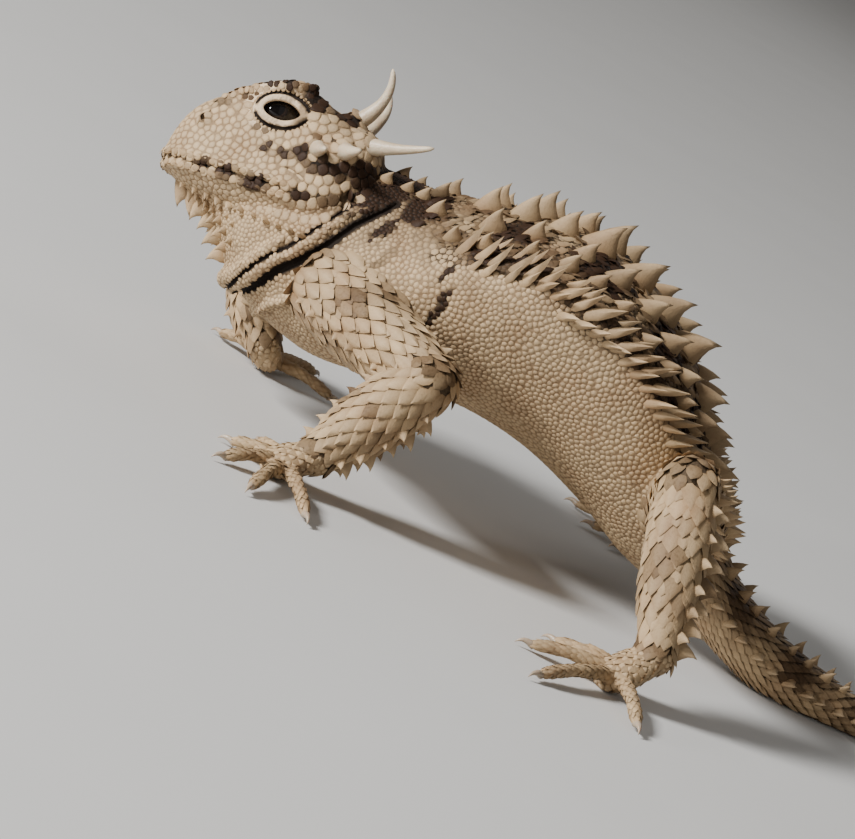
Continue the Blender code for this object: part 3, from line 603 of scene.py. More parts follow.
@dataclass(frozen=True)
class Leg:
    """A leg: its joints from the root out, the radius at each, its palm and the tips of its digits."""

    name: str
    joints: tuple
    radii: tuple[float, float, float]
    palm: tuple[float, float, float]
    digits: tuple
    column: int  # of the chart
    sides: int = 24
    digit_radius: float = 0.86
    tip_height: float = 0.72
    claw_length: float = 1.5
    claw_radius: float = 0.36

    def points(self) -> tuple[Vector, Vector, Vector, Vector]:
        """The root, the knee or elbow, the ankle or wrist, and the palm."""
        return (*(Vector(joint) for joint in self.joints), Vector(self.palm))

    def chart(self, bottom: float, height: float, share: float = 0.0, width: float = 1.0) -> Chart:
        """A part of this leg's column in the unit square.

        Args:
            bottom: The chart's lower edge.
            height: Its height.
            share: Where it starts in the leg's strip.
            width: Its width.

        Returns:
            The chart.
        """
        column_width = 0.16
        left = 0.36 + column_width * self.column
        return Chart(left + column_width * share, bottom, 0.95 * column_width * width, 0.95 * height)

    def toe_path(self, digit: tuple[float, float]) -> list[Vector]:
        """The middle line of a digit, from inside the palm to its tip.

        Args:
            digit: The place of its tip, seen from above.

        Returns:
            Points from its root to its tip.
        """
        _, _, wrist, palm = self.points()
        tip = Vector((*digit, self.tip_height))
        start = palm.lerp(wrist, 0.15)
        start.z = min(start.z, 1.6)
        bend = start.lerp(tip, 0.5) + Vector((0, 0, 1.5))
        return arc_points(start, bend, tip, 12)

    def forms(self) -> list[Form]:
        """The two lengths of the leg, its palm and its digits.

        Returns:
            The forms of the upper and lower length, the foot and the digits.
        """
        root, knee, wrist, palm = self.points()
        r_root, r_knee, r_wrist = self.radii
        upper_shares = (0.0, 0.15, 0.35, 0.6, 0.85, 1.0)
        thigh, shin = 0.53 * (r_root + r_knee), 0.55 * (r_knee + r_wrist)
        upper_radii = (r_root, r_root, 1.02 * r_root, thigh, r_knee, 0.78 * r_knee)
        lower_shares = (0.0, 0.18, 0.4, 0.65, 0.85, 1.0)
        lower_radii = (0.8 * r_knee, r_knee, 0.98 * r_knee, shin, 1.05 * r_wrist, r_wrist)
        sole_shares = (-0.1, 0.3, 0.7, 1.1, 1.45)
        sole_radii = tuple(share * r_wrist for share in (0.95, 1.05, 1.15, 1.0, 0.55))
        found = [
            self.length(Region.UPPER, (root, knee), upper_shares, upper_radii, self.chart(0.56, 0.16)),
            self.length(Region.LOWER, (knee, wrist), lower_shares, lower_radii, self.chart(0.72, 0.14)),
            self.length(Region.FOOT, (wrist, palm), sole_shares, sole_radii, self.chart(0.86, 0.07), 0.72),
        ]
        for index, digit in enumerate(self.digits):
            path = self.toe_path(digit)
            radii = [self.toe_radius(step / (len(path) - 1)) for step in range(len(path))]
            chart = self.chart(0.93, 0.07, 0.2 * index, 0.2)
            found.append(Form(self.part(Region.TOE), Region.TOE, tube_rings(path, radii, 14, 0.9), chart))
        return found

    def part(self, region: Region) -> str:
        """The name of the form, or forms, of one region of this leg."""
        return f"{self.name}_{region.name.lower()}"

    def length(self, region: Region, ends: tuple[Vector, Vector], shares: Sequence[float],
               radii: Sequence[float], chart: Chart, squash: float = 1.0) -> Form:
        """A straight length of the leg, with its radii drawn as one smooth curve.

        Args:
            region: What its skin counts as.
            ends: Where it leaves the body, and where it ends.
            shares: Where along it each radius is, as a share.
            radii: The radii.
            chart: Where its skin unrolls.
            squash: Share of its width that its height has.

        Returns:
            The form.
        """
        rows = [(*ends[0].lerp(ends[1], share), radius) for share, radius in zip(shares, radii)]
        rows = smooth_rows(rows, 4)
        path = [Vector(row[:3]) for row in rows]
        return Form(self.part(region), region, tube_rings(path, rows[:, 3], self.sides, squash), chart)

    def toe_radius(self, share: float) -> float:
        """A digit's radius: a little thicker at its joints, and blunt at its tip.

        Args:
            share: Where along the digit, from 0 to 1.

        Returns:
            The radius in millimetres.
        """
        joints = 0.06 * math.cos(share * TAU * 2.5)
        taper = 1.2 - 0.3 * share
        blunt = 1.0 - 0.45 * max(0.0, (share - 0.88) / 0.12) ** 2
        return self.digit_radius * (taper + joints) * blunt


LEGS = (
    Leg("fore_leg_left", ((51.5, 9.0, 18.5), (34.6, 22.4, 17.0), (41.4, 26.4, 4.0)), (4.8, 3.7, 2.3),
        (44.6, 28.6, 1.7), ((48.0, 20.6), (50.6, 27.2), (50.2, 35.0), (45.6, 40.8), (38.8, 39.6)), 0),
    Leg("fore_leg_right", ((50.8, -7.4, 14.0), (59.8, -17.8, 8.4), (55.0, -14.0, 3.8)), (4.4, 3.3, 2.2),
        (53.8, -15.4, 1.7), ((60.6, -19.4), (58.4, -24.6), (54.0, -27.4), (48.0, -26.6), (44.2, -18.6)), 1),
    Leg("hind_leg_left", ((-0.6, 4.0, 13.0), (3.2, 23.8, 22.2), (-2.6, 33.4, 5.2)), (4.9, 3.5, 2.2),
        (0.4, 36.4, 1.8), ((4.6, 29.0), (8.0, 32.4), (10.6, 39.2), (8.6, 48.8), (-3.6, 46.6)), 2),
    Leg("hind_leg_right", ((-0.6, -4.0, 13.0), (4.6, -23.4, 19.4), (-4.6, -30.4, 5.2)), (4.9, 3.4, 2.2),
        (-1.2, -33.6, 1.8), ((3.4, -27.4), (7.4, -31.0), (10.4, -37.6), (8.4, -46.6), (-4.6, -43.2)), 3),
)


@dataclass
class Sites:
    """Places on the skin: where, which way is up, the form that each lies on and where on it."""

    points: np.ndarray
    normals: np.ndarray
    form: np.ndarray
    region: np.ndarray
    lie: np.ndarray  # the way to the tip of the form, of length one
    along: np.ndarray  # share of the form's length
    around: np.ndarray  # share of a turn
    patch: np.ndarray  # place in the unit square

    def __len__(self) -> int:
        """How many there are."""
        return len(self.points)

    def pick(self, chosen: np.ndarray) -> Sites:
        """Some of the places."""
        return Sites(*(getattr(self, name)[chosen] for name in self.__dataclass_fields__))

    @staticmethod
    def merge(groups: Sequence[Sites]) -> Sites:
        """Several groups of places as one."""
        columns = ([getattr(group, name) for group in groups] for name in Sites.__dataclass_fields__)
        return Sites(*(np.concatenate(column) for column in columns))

    @property
    def turn(self) -> np.ndarray:
        """On the trunk, 0 on the back, 1 at the side and 2 below."""
        return np.minimum(self.around, 1.0 - self.around) * 4.0

    @property
    def station(self) -> np.ndarray:
        """On the trunk, which station."""
        return self.along * (len(STATIONS) - 1)

    def on(self, *regions: Region) -> np.ndarray:
        """Which places lie on one of these regions."""
        return np.isin(self.region, [region.value for region in regions])

    def facing_floor(self, height: float) -> np.ndarray:
        """Which places lie below this height and face the floor."""
        return (self.points[:, 2] < height) & (self.normals[:, 2] < -0.2)


class Anatomy:
    """Finds which form a point of the skin lies on, from the quads of all the forms."""

    def __init__(self, forms: Sequence[Form]) -> None:
        """Gathers the quads of the forms.

        Args:
            forms: The trunk, the skull and the legs' forms.
        """
        self.forms = list(forms)
        points, quads, owners = [], [], []
        for number, form in enumerate(self.forms):
            rings, sides = form.rings.shape[:2]
            start = len(points)
            points.extend(form.rings.reshape(-1, 3).tolist())
            for ring in range(rings - 1):
                for column in range(sides):
                    here, after = ring * sides + column, ring * sides + (column + 1) % sides
                    quads.append((start + here, start + after, start + after + sides, start + here + sides))
                    owners.append((number, ring, column))
        self.owners = np.array(owners)
        self.tree = BVHTree.FromPolygons(points, quads)

    def locate(self, points: np.ndarray, normals: np.ndarray) -> Sites:
        """Finds the form, the lie and the chart place of each point.

        Args:
            points: Places in the model.
            normals: The skin's normal at each.

        Returns:
            What was found, one entry for each point.
        """
        quads = np.array([self.tree.find_nearest(point)[2] for point in points.tolist()])
        number, ring, column = self.owners[quads].T
        lie, patch = np.zeros((len(points), 3)), np.zeros((len(points), 2))
        along, around = np.zeros(len(points)), np.zeros(len(points))
        region = np.array([form.region.value for form in self.forms])[number]
        for index, form in enumerate(self.forms):
            mine = number == index
            centres, here = form.centres, ring[mine]
            rings, sides = form.rings.shape[:2]
            step = centres[here + 1] - centres[here]
            share = ((points[mine] - centres[here]) * step).sum(1) / (step ** 2).sum(1)
            along[mine] = (here + np.clip(share, 0.0, 1.0)) / (rings - 1)
            first, second = form.rings[here, column[mine]], form.rings[here, (column[mine] + 1) % sides]
            edge = second - first
            part = ((points[mine] - first) * edge).sum(1) / np.maximum((edge ** 2).sum(1), 1e-9)
            around[mine] = ((column[mine] + np.clip(part, 0.0, 1.0)) / sides) % 1.0
            lie[mine] = step
            patch[mine] = form.chart.at(along[mine], around[mine])
        tail = (region == Region.TRUNK.value) & (along * (len(STATIONS) - 1) > TAIL_STARTS)
        region[tail] = Region.TAIL.value
        return Sites(points, normals, number, region, unit_rows(lie), along, around, patch)


@dataclass(frozen=True)
class Blotch:
    """A darker spot on the head's axes, with its size along, across and up; some in the list are the animal's
    own pattern and some are painted shade.
    """

    back: float
    out: float
    up: float
    length: float
    height: float
    strength: float = 1.0


HEAD_DARK_SPOTS = (
    Blotch(11.0, 6.4, 10.4, 1.0, 0.9),
    Blotch(13.2, 7.0, 10.9, 1.0, 0.9),
    # Painted shade in the gaps along the line of the mouth and behind its corner.
    Blotch(5.3, 5.6, -0.7, 1.4, 0.7),
    Blotch(8.1, 6.9, -1.1, 1.5, 0.9),
    Blotch(11.9, 8.4, -1.9, 1.9, 1.1),
    Blotch(17.5, 10.1, -2.3, 1.5, 0.8),
    Blotch(19.6, 10.4, -2.1, 0.9, 0.7, 0.9),
    Blotch(21.1, 10.2, -2.4, 0.6, 1.3, 0.8),
    Blotch(12.0, 8.0, 2.7, 0.8, 0.8, 0.95),
    Blotch(14.2, 8.8, 2.1, 1.2, 0.8, 0.95),
    Blotch(16.3, 9.5, 2.7, 1.1, 1.1),
    Blotch(17.4, 9.6, 4.9, 0.7, 0.5, 0.7),
    Blotch(19.9, 9.7, 5.0, 0.7, 0.5, 0.8),
    Blotch(10.7, 7.3, 4.7, 1.2, 0.35, 0.7),
    # Painted shadow under the temporal horns.
    Blotch(20.0, 10.0, 1.5, 3.2, 1.3),
    Blotch(24.5, 8.6, 1.9, 3.4, 2.0),
    # Painted shade in the hollows behind the eyes.
    Blotch(17.0, 8.2, 9.9, 2.6, 1.9),
    Blotch(20.3, 6.6, 8.6, 2.4, 1.7),
    # Painted shade under the brow ridge, along the snout's edge.
    Blotch(5.6, 3.9, 7.3, 1.4, 0.6, 0.6),
    Blotch(9.0, 5.4, 8.6, 1.6, 0.6, 0.75),
    Blotch(15.4, 0.0, 10.4, 1.5, 2.0, 0.7),
    Blotch(20.0, 2.0, 9.4, 1.7, 1.6, 0.7),
)


@dataclass(frozen=True)
class Patch:
    """A darker spot on both sides of the trunk: its station and turn, and its reach on each. Most are the
    animal's own pattern; those of the nape and the middle of the back are partly painted shade.
    """

    station: float
    turn: float
    length: float
    height: float
    strength: float = 1.0


TRUNK_DARK_SPOTS = (
    # Partly painted shade: the nape behind the head, its own dark colour deepened as if in the head's shadow.
    Patch(3.7, 0.2, 0.8, 0.5),
    Patch(4.62, 0.68, 0.16, 0.13),
    Patch(6.62, 0.9, 0.1, 0.1),
    Patch(6.88, 1.16, 0.09, 0.12),
    Patch(4.9, 0.3, 0.6, 0.26),
    Patch(4.65, 0.66, 0.2, 0.08, 0.8),
    Patch(5.3, 0.86, 0.1, 0.2, 0.45),
    # Partly painted shade: dark spots along the middle of the back, deepened where the back turns away from
    # the light.
    Patch(7.1, 0.34, 0.4, 0.22, 0.85),
    Patch(8.6, 0.36, 0.42, 0.26),
    Patch(10.1, 0.38, 0.44, 0.28),
    Patch(11.5, 0.4, 0.4, 0.3),
    Patch(12.9, 0.45, 0.36, 0.34, 0.8),
    Patch(14.6, 0.5, 0.36, 0.5, 0.7),
    Patch(16.2, 0.5, 0.36, 0.5, 0.65),
    Patch(17.7, 0.5, 0.34, 0.5, 0.6),
    Patch(19.0, 0.5, 0.3, 0.5, 0.6),
)


@dataclass
class Markings:
    """The darker pattern that skin and scales share, as a share from pale to dark at each point: the animal's
    own pattern, with painted shade on the head, the nape and the back.
    """

    spine_roots: list[list[float]]

    def at(self, sites: Sites) -> np.ndarray:
        """The pattern at each place, painted shade included.

        Args:
            sites: The places.

        Returns:
            One share for each, from 0 where it is palest.
        """
        mottle, fine = noise_rows(sites.points, 0.32, 3.0), noise_rows(sites.points, 0.9, 11.0)
        turn, station = sites.turn, sites.station
        dark = np.clip(0.1 + 0.2 * mottle + 0.16 * fine, 0.0, 1.0)
        coat = 0.34 * smooth_step(turn, 0.95, 0.5)
        fringe = smooth_step(np.abs(turn - fringe_turn(station) + 0.03), 0.17, 0.08)
        ends = smooth_step(station, 6.2, 6.9) * smooth_step(station, 13.0, 12.2)
        coat = np.maximum(coat, 0.8 * fringe * ends)
        # Some of these spots are partly painted shade: the nape behind the head and the middle of the back.
        for patch in TRUNK_DARK_SPOTS:
            reach = np.hypot((station - patch.station) / patch.length, (turn - patch.turn) / patch.height)
            coat = np.maximum(coat, patch.strength * smooth_step(reach + 0.4 * fine, 1.2, 0.75))
        below = smooth_step(turn, 0.95, 1.3)
        dark = np.where(sites.on(Region.TRUNK, Region.TAIL), dark * (1.0 - 0.55 * below) + coat, dark)
        rings = 0.55 * smooth_step(np.cos(sites.along * 12.5 + 1.2 * mottle), 0.2, 0.8)
        bands = dark * 0.6 + rings * smooth_step(mottle, -0.3, 0.4)
        dark = np.where(sites.on(Region.UPPER, Region.LOWER), bands, dark)
        dark = np.where(sites.on(Region.FOOT, Region.TOE), dark * 0.4, dark)
        dark = np.where(sites.on(Region.HEAD), np.maximum(0.6 * dark, self.head_spots(sites, fine)), dark)
        roots = 0.3 * smooth_step(reach_of(sites.points, self.spine_roots), 2.8, 1.4)
        return np.clip(dark + roots, 0.0, 1.0)

    @staticmethod
    def head_spots(sites: Sites, fine: np.ndarray) -> np.ndarray:
        """The head's own dark pattern and painted shade, with edges roughened by fine noise.

        Args:
            sites: The places.
            fine: Fine noise at each.

        Returns:
            How dark each place is, from 0 to 1.
        """
        x, y, z = head_places(sites.points).T
        spots = np.zeros(len(sites))
        for dark_spot in HEAD_DARK_SPOTS:
            along, across = (x + dark_spot.back) / dark_spot.length, (np.abs(y) - dark_spot.out) / 2.2
            reach = np.sqrt(along ** 2 + across ** 2 + ((z - dark_spot.up) / dark_spot.height) ** 2)
            spots = np.maximum(spots, dark_spot.strength * smooth_step(reach + 0.2 * fine, 1.12, 0.7))
        return spots


@dataclass(frozen=True)
class Fold:
    """A ridge or crease round the throat: its stations below and at its ends, and its ends from the back."""

    low: float
    high: float
    radius: float
    end: float  # degrees

    @property
    def shares(self) -> list[float]:
        """Steps from -1 at its right end to 1 at its left."""
        return [2 * step / 40 - 1 for step in range(41)]

    def path(self, trunk: Trunk, grow: float) -> list[Vector]:
        """Its middle line, from the right side under the throat to the left.

        Args:
            trunk: The trunk that it runs round.
            grow: How far outside the trunk's surface.

        Returns:
            Points along the fold.
        """
        angles = [math.radians(180.0 - share * (180.0 - self.end)) for share in self.shares]
        places = [self.low + (self.high - self.low) * abs(share) for share in self.shares]
        return [trunk.point(place, angle, grow) for place, angle in zip(places, angles)]

    def radii(self) -> list[float]:
        """Its radius at each step of the path, least at its ends."""
        return [self.radius * (0.3 + 0.7 * math.cos(share / 2 * math.pi)) for share in self.shares]


FOLDS = (Fold(3.15, 3.25, 1.4, 96.0), Fold(3.48, 3.84, 0.85, 48.0), Fold(4.3, 4.65, 0.6, 56.0))
CREASES = (Fold(3.28, 3.55, 0.28, 56.0), Fold(3.72, 4.12, 0.66, 38.0))


@dataclass
class Skin:
    """The one skin of the whole animal, with its eye openings, mouth, nostrils and ears."""

    trunk: Trunk
    skull: Skull
    forms: Sequence[Form]
    piece: bpy.types.Object | None = None
    tree: BVHTree | None = None
    crease_places: list[tuple[list[Vector], float]] = field(default_factory=list)

    voxel = 0.34
    most_triangles = 190000
    sunk = 0.1  # how far it lies inside the solids, under the scales

    lid_radius = 3.4
    opening_shift = (-0.55, -0.3)  # of the lids' middle from the eye's, forward and up
    opening_length = 4.5
    opening_height = 2.3
    rim_radius = 0.46
    rim_grow = 0.42
    lid_groove_grow = 1.08
    lid_groove_radius = 0.34
    mouth_corner = 16.6
    mouth_drop = 0.135
    groove_radius = 0.3
    lip_radius = 0.6
    lip_rise = 0.75
    nostril = (4.0, 5.1)
    nostril_radius = 0.46
    nostril_ring = 0.85
    ear = (22.6, -1.6)
    ear_size = (0.55, 0.6, 1.5)
    temple = (17.6, 9.2, 9.7)
    temple_size = (1.9, 1.8, 1.25)
    cheek_crease = ((14.9, 0.6), (16.4, 0.1), (17.9, -0.9), (18.6, -1.7))

    def build(self) -> bpy.types.Object:
        """Joins the forms, gives them one even mesh, softens it, and cuts the openings.

        Returns:
            The skin, still in millimetres.
        """
        pieces = [form.build() for form in self.forms]
        extras = [*self.skull.ridges(), *self.folds(), *self.joint_balls(), *self.horn_feet()]
        for side in Side:
            extras.append(ball("lids", eye_centre(side), self.lid_radius))
            extras += self.lid_rims(side)
        skin = pieces[0]
        combine(skin, pieces[1:] + extras, "UNION")
        self.tree = tree_of(skin)
        lips = [self.mouth_line(rise) for rise in (self.lip_rise, -self.lip_rise)]
        added = [tube("lip", lip, [self.lip_radius] * len(lip)) for lip in lips]
        for side in Side:
            nostril, _ = self.cast(*self.nostril, (0, side.value, 0))
            added.append(ball("nostril_ring", nostril, self.nostril_ring, fine=16))
        combine(skin, added, "UNION")
        combine(skin, self.temples(), "DIFFERENCE")
        apply_modifier(skin, "REMESH", mode="VOXEL", voxel_size=self.voxel)
        self.soften(skin)
        count = len(skin.data.polygons) * 2
        LOG.info("skin has %d triangles before it is thinned", count)
        if count > self.most_triangles:
            apply_modifier(skin, "DECIMATE", ratio=self.most_triangles / count)
        self.tree = tree_of(skin)
        combine(skin, self.cutters(), "DIFFERENCE")
        skin.name = "lizard_skin"
        self.tree = tree_of(skin)
        self.piece = skin
        return skin

    def temples(self) -> list[bpy.types.Object]:
        """The hollows behind the eyes, under the end of the brow."""
        places = [head_point(*self.temple, side.value) for side in Side]
        return [ball("temple", place, 1.0, self.temple_size, 24) for place in places]

    def folds(self) -> list[bpy.types.Object]:
        """The ridges of skin round the throat."""
        return [tube("fold", fold.path(self.trunk, 0.25), fold.radii(), 12) for fold in FOLDS]

    def creases(self) -> list[bpy.types.Object]:
        """Tubes along the surface between the folds, to be cut from it.

        Returns:
            The solids, to be joined to the skin or cut from it.
        """
        found = []
        for fold in CREASES:
            path = [self.tree.find_nearest(point)[0] for point in fold.path(self.trunk, 0.4)]
            path = [path[0]] + [(a + b + c) / 3 for a, b, c in zip(path, path[1:], path[2:])] + [path[-1]]
            self.crease_places.append((dense_path(path, 6), 0.8 * fold.radius + 0.12))
            found.append(tube("crease", path, fold.radii(), 10))
        return found

    def lid_rims(self, side: Side) -> list[bpy.types.Object]:
        """The smooth raised margins of the upper and the lower lid.

        Args:
            side: Which eye.

        Returns:
            Two tubes that meet at the corners of the eye.
        """
        middle, out = self.lid_middle(side), head_way(0, side.value, 0)
        centre, count = eye_centre(side), 60
        steps = count // 2 + 4
        rim = self.lid_outline(self.rim_grow, count)
        swell = [0.62 + 0.38 * math.sin(math.pi * step / steps) for step in range(steps + 1)]
        radii = [self.rim_radius * share for share in swell]
        found = []
        for first in (-2, count // 2 - 2):
            path = []
            for step in range(steps + 1):
                flat = middle + rim[(first + step) % count] - centre
                flat -= out * flat.dot(out)
                rise = math.sqrt(max(self.lid_radius ** 2 - flat.length_squared, 1.0))
                path.append(centre + flat + out * rise)
            found.append(tube("rim", path, radii, 12))
        return found

    def lid_middle(self, side: Side) -> Vector:
        """The middle of the opening between the lids, in the plane of the eye's centre."""
        forward, up = self.opening_shift
        return head_point(EYE_BACK - forward, EYE_OUT, EYE_UP + up, side.value)

    def joint_balls(self) -> list[bpy.types.Object]:
        """Rounded knees, elbows, heels and wrists.

        Returns:
            The solids, to be joined to the skin or cut from it.
        """
        found = []
        for leg in LEGS:
            _, knee, wrist, _ = leg.points()
            found.append(ball("knee", knee, 0.98 * leg.radii[1]))
            found.append(ball("heel", wrist, 1.03 * leg.radii[2]))
        return found

    def horn_feet(self) -> list[bpy.types.Object]:
        """A swelling of the head's skin round the foot of each horn.

        Returns:
            The solids, to be joined to the skin or cut from it.
        """
        found = []
        for horn in HORNS:
            for side in Side:
                path = horn.path(side, 9)
                foot = [path[0].lerp(path[1], -0.8), path[0], path[1].lerp(path[2], 0.4)]
                found.append(tube("foot", foot, [horn.radius * share for share in (1.35, 1.3, 0.95)], 16))
        return found

    def cast(self, back: float, up: float, way: tuple[float, float, float], out: float = 0.0) -> tuple:
        """Where a ray on the head's axes leaves the skin.

        Args:
            back: Where it starts behind the snout.
            up: Its height there.
            way: Its direction on the head's axes.
            out: How far from the middle it starts.

        Returns:
            The place in the model and the skin's normal there.
        """
        towards = head_way(*way)
        start = head_point(back, out, up)
        place, normal, _, _ = self.tree.ray_cast(start + towards * 40.0, -towards)
        return place, normal

    def mouth_line(self, rise: float = 0.0) -> list[Vector]:
        """Points along the mouth or a lip, from the left corner round the snout to the right one.

        Args:
            rise: How far over the mouth the line runs.

        Returns:
            The points on the skin.
        """
        backs = [self.mouth_corner * share for share in (1.0, 0.75, 0.5, 0.3, 0.15, 0.06)]
        left = [self.cast(back, rise - self.mouth_drop * back, (0, 1, 0))[0] for back in backs]
        right = [self.cast(back, rise - self.mouth_drop * back, (0, -1, 0))[0] for back in backs]
        return left + [self.cast(2.0, rise, (1, 0, 0))[0]] + right[::-1]

    def fine_mouth_line(self) -> list[Vector]:
        """The line of the mouth with a slight wave, dense enough for a clean groove.

        Returns:
            The points on the skin, from the left corner to the right one.
        """
        backs = [self.mouth_corner * (1.0 - step / 40) for step in range(40)]
        waves = [0.18 * math.sin(back * 1.1) + 0.1 * math.sin(back * 2.7) for back in backs]
        rises = [wave - self.mouth_drop * back for back, wave in zip(backs, waves)]
        left, right = (
            [self.cast(back, rise, (0, side, 0))[0] for back, rise in zip(backs, rises)] for side in (1, -1)
        )
        return left + [self.cast(2.0, 0.0, (1, 0, 0))[0]] + right[::-1]

    def cutters(self) -> list[bpy.types.Object]:
        """What is cut from the skin: sockets, lid openings, the mouth, nostrils and ears.

        Returns:
            The solids, to be joined to the skin or cut from it.
        """
        mouth = self.fine_mouth_line()
        steps = len(mouth) - 1
        ends = [min(1.0, 0.2 + 14.0 * min(step, steps - step) / steps) for step in range(len(mouth))]
        found = [tube("mouth", mouth, [self.groove_radius * share for share in ends], 8), *self.creases()]
        for side in Side:
            found.append(ball("socket", eye_centre(side), EYE_RADIUS + GAP))
            found.append(self.lid_opening(side))
            found += self.lid_grooves(side)
            nostril, outward = self.cast(*self.nostril, (0, side.value, 0))
            found.append(ball("nostril", nostril - outward * 0.15, self.nostril_radius, fine=16))
            ear, _ = self.cast(*self.ear, (0, side.value, 0))
            self.crease_places += [([nostril], self.nostril_radius), ([ear], 0.5)]
            found.append(ball("ear", ear, 1.0, self.ear_size, 20))
            crease = [self.cast(back, up, (0, side.value, 0))[0] for back, up in self.cheek_crease]
            found.append(tube("cheek_crease", crease, (0.1, 0.2, 0.2, 0.1), 8))
        return found

    def lid_outline(self, grow: float, count: int) -> list[Vector]:
        """Points round the almond of the lids.

        Args:
            grow: How far outside the opening's rim.
            count: How many directions.

        Returns:
            Offsets from the opening's middle in its plane, turned with the head.
        """
        found = []
        for step in range(count):
            turn = TAU * step / count
            x = (self.opening_length / 2 + grow) * math.cos(turn)
            z = (self.opening_height / 2 + grow) * math.sin(turn) * (1.0 - 0.14 * abs(math.cos(turn)) ** 3)
            found.append(HEAD_TURN @ Vector((x, 0.0, z)))
        return found

    def lid_opening(self, side: Side) -> bpy.types.Object:
        """A short plug of the opening's outline, from inside the eye to outside the lids.

        Args:
            side: The side of the head.

        Returns:
            The plug.
        """
        middle, out = self.lid_middle(side), head_way(0, side.value, 0)
        rim = self.lid_outline(0.0, 40)
        rings = [[middle + out * reach + offset for offset in rim] for reach in (1.0, 2.4, 3.8, 6.0)]
        return Form("opening", Region.HEAD, np.array(rings)).build()

    def lid_grooves(self, side: Side) -> list[bpy.types.Object]:
        """The creases round the lids, above them and below.

        Args:
            side: The side of the head.

        Returns:
            The solids, to be joined to the skin or cut from it.
        """
        middle, out = self.lid_middle(side), head_way(0, side.value, 0)
        rim = self.lid_outline(self.lid_groove_grow, 60)
        found = []
        for first, last in ((1, 30), (32, 59)):
            path = [self.tree.ray_cast(middle + offset + out * 8.0, -out)[0] for offset in rim[first:last]]
            turns = [math.pi * (0.1 + 0.8 * step / (len(path) - 1)) for step in range(len(path))]
            radii = [self.lid_groove_radius * math.sin(turn) for turn in turns]
            self.crease_places.append((path[2:-2], 0.32))
            found.append(tube("lid_groove", path, radii, 8))
        return found

    def soften(self, skin: bpy.types.Object) -> None:
        """Evens out the mesh, most where the limbs and the neck join, and flattens it at the floor.

        Args:
            skin: The remeshed skin.
        """
        mesh = skin.data
        count = len(mesh.vertices)
        points = read_rows(mesh.vertices, "co", 3)
        edges = read_rows(mesh.edges, "vertices", 2, np.int32)
        degree = np.bincount(edges.ravel(), minlength=count)[:, None]
        even = 0.5 - 0.3 * smooth_step(eye_distance(points), 5.5, 4.0)
        for rounds, weight in ((3, even), (26, self.join_weight(points))):
            for _ in range(rounds):
                total = np.empty((count, 3))
                for axis in range(3):
                    total[:, axis] = np.bincount(edges[:, 0], points[edges[:, 1], axis], count)
                    total[:, axis] += np.bincount(edges[:, 1], points[edges[:, 0], axis], count)
                points = points + (total / degree - points) * weight[:, None]
        points = points - read_rows(mesh.vertices, "normal", 3, np.float32) * self.sunk
        points[:, 2] = np.maximum(points[:, 2], 0.02)
        mesh.vertices.foreach_set("co", points.ravel())
        mesh.update()

    def join_weight(self, points: np.ndarray) -> np.ndarray:
        """How strongly each point is smoothed: most near the roots of the legs, none on the toes.

        Args:
            points: Points of the skin.

        Returns:
            A share from 0 to 0.5 for each.
        """
        weight = np.zeros(len(points))
        for leg in LEGS:
            root, knee, wrist, palm = leg.points()
            spots = ((root.lerp(knee, 0.3), 10.0, 0.5), (knee, 4.5, 0.35), (wrist, 3.0, 0.2))
            for place, reach, most in spots:
                near = smooth_step(distance_to(points, place), reach, 0.4 * reach)
                weight = np.maximum(weight, most * near)
        return weight

    def crease_reach(self, points: np.ndarray) -> np.ndarray:
        """How far each point is from the nearest crease, as a share of that crease's reach.

        Args:
            points: Points of the skin.

        Returns:
            A number for each, 1 at the edge of the crease.
        """
        places = [(place, reach) for path, reach in self.crease_places for place in path]
        tree = search_tree([place for place, _ in places])
        found = [tree.find(point) for point in points.tolist()]
        return np.array([distance / places[index][1] for _, index, distance in found])


def tree_of(piece: bpy.types.Object) -> BVHTree:
    """A search tree of an object's faces."""
    points = [vert.co[:] for vert in piece.data.vertices]
    return BVHTree.FromPolygons(points, [face.vertices[:] for face in piece.data.polygons])


@dataclass(frozen=True)
class Pattern:
    """The shape of one kind of scale, of unit size: its tip to +X, its width in Y and its rise in Z."""

    points: np.ndarray
    faces: np.ndarray

    @staticmethod
    def stack(sides: int, rings: Sequence[tuple[float, float, float]], tip: tuple[float, float] | None = None,
              narrow: float = 1.0) -> Pattern:
        """A closed pattern of rings, one over another.

        Args:
            sides: How many points a ring has.
            rings: The radius, rise and lean of each ring, from the foot up.
            tip: The rise and lean of the tip, or None for a flat top.
            narrow: Share of the width that is kept.

        Returns:
            The pattern.
        """
        points = []
        for radius, rise, lean in rings:
            for step in range(sides):
                turn = TAU * step / sides
                points.append((lean + radius * math.cos(turn), narrow * radius * math.sin(turn), rise))
        faces = [(0, step + 1, step) for step in range(1, sides - 1)]
        for ring in range(len(rings) - 1):
            start = ring * sides
            for step in range(sides):
                a, b = start + step, start + (step + 1) % sides
                faces += [(a, b, b + sides), (a, b + sides, a + sides)]
        top = (len(rings) - 1) * sides
        if tip is None:
            faces += [(top, top + step, top + step + 1) for step in range(1, sides - 1)]
        else:
            points.append((tip[1], 0.0, tip[0]))
            faces += [(top + step, top + (step + 1) % sides, len(points) - 1) for step in range(sides)]
        return Pattern(np.array(points), np.array(faces))


PLATE = Pattern.stack(8, ((0.53, -0.4, 0.0), (0.5, 0.0, 0.0), (0.4, 0.2, 0.0), (0.2, 0.28, 0.0)), (0.3, 0.0))
THORN = Pattern.stack(
    8, ((0.5, -0.3, -0.05), (0.47, 0.05, -0.02), (0.36, 0.28, 0.03), (0.23, 0.55, 0.12), (0.11, 0.8, 0.26)),
    (1.0, 0.44), 0.72,
)


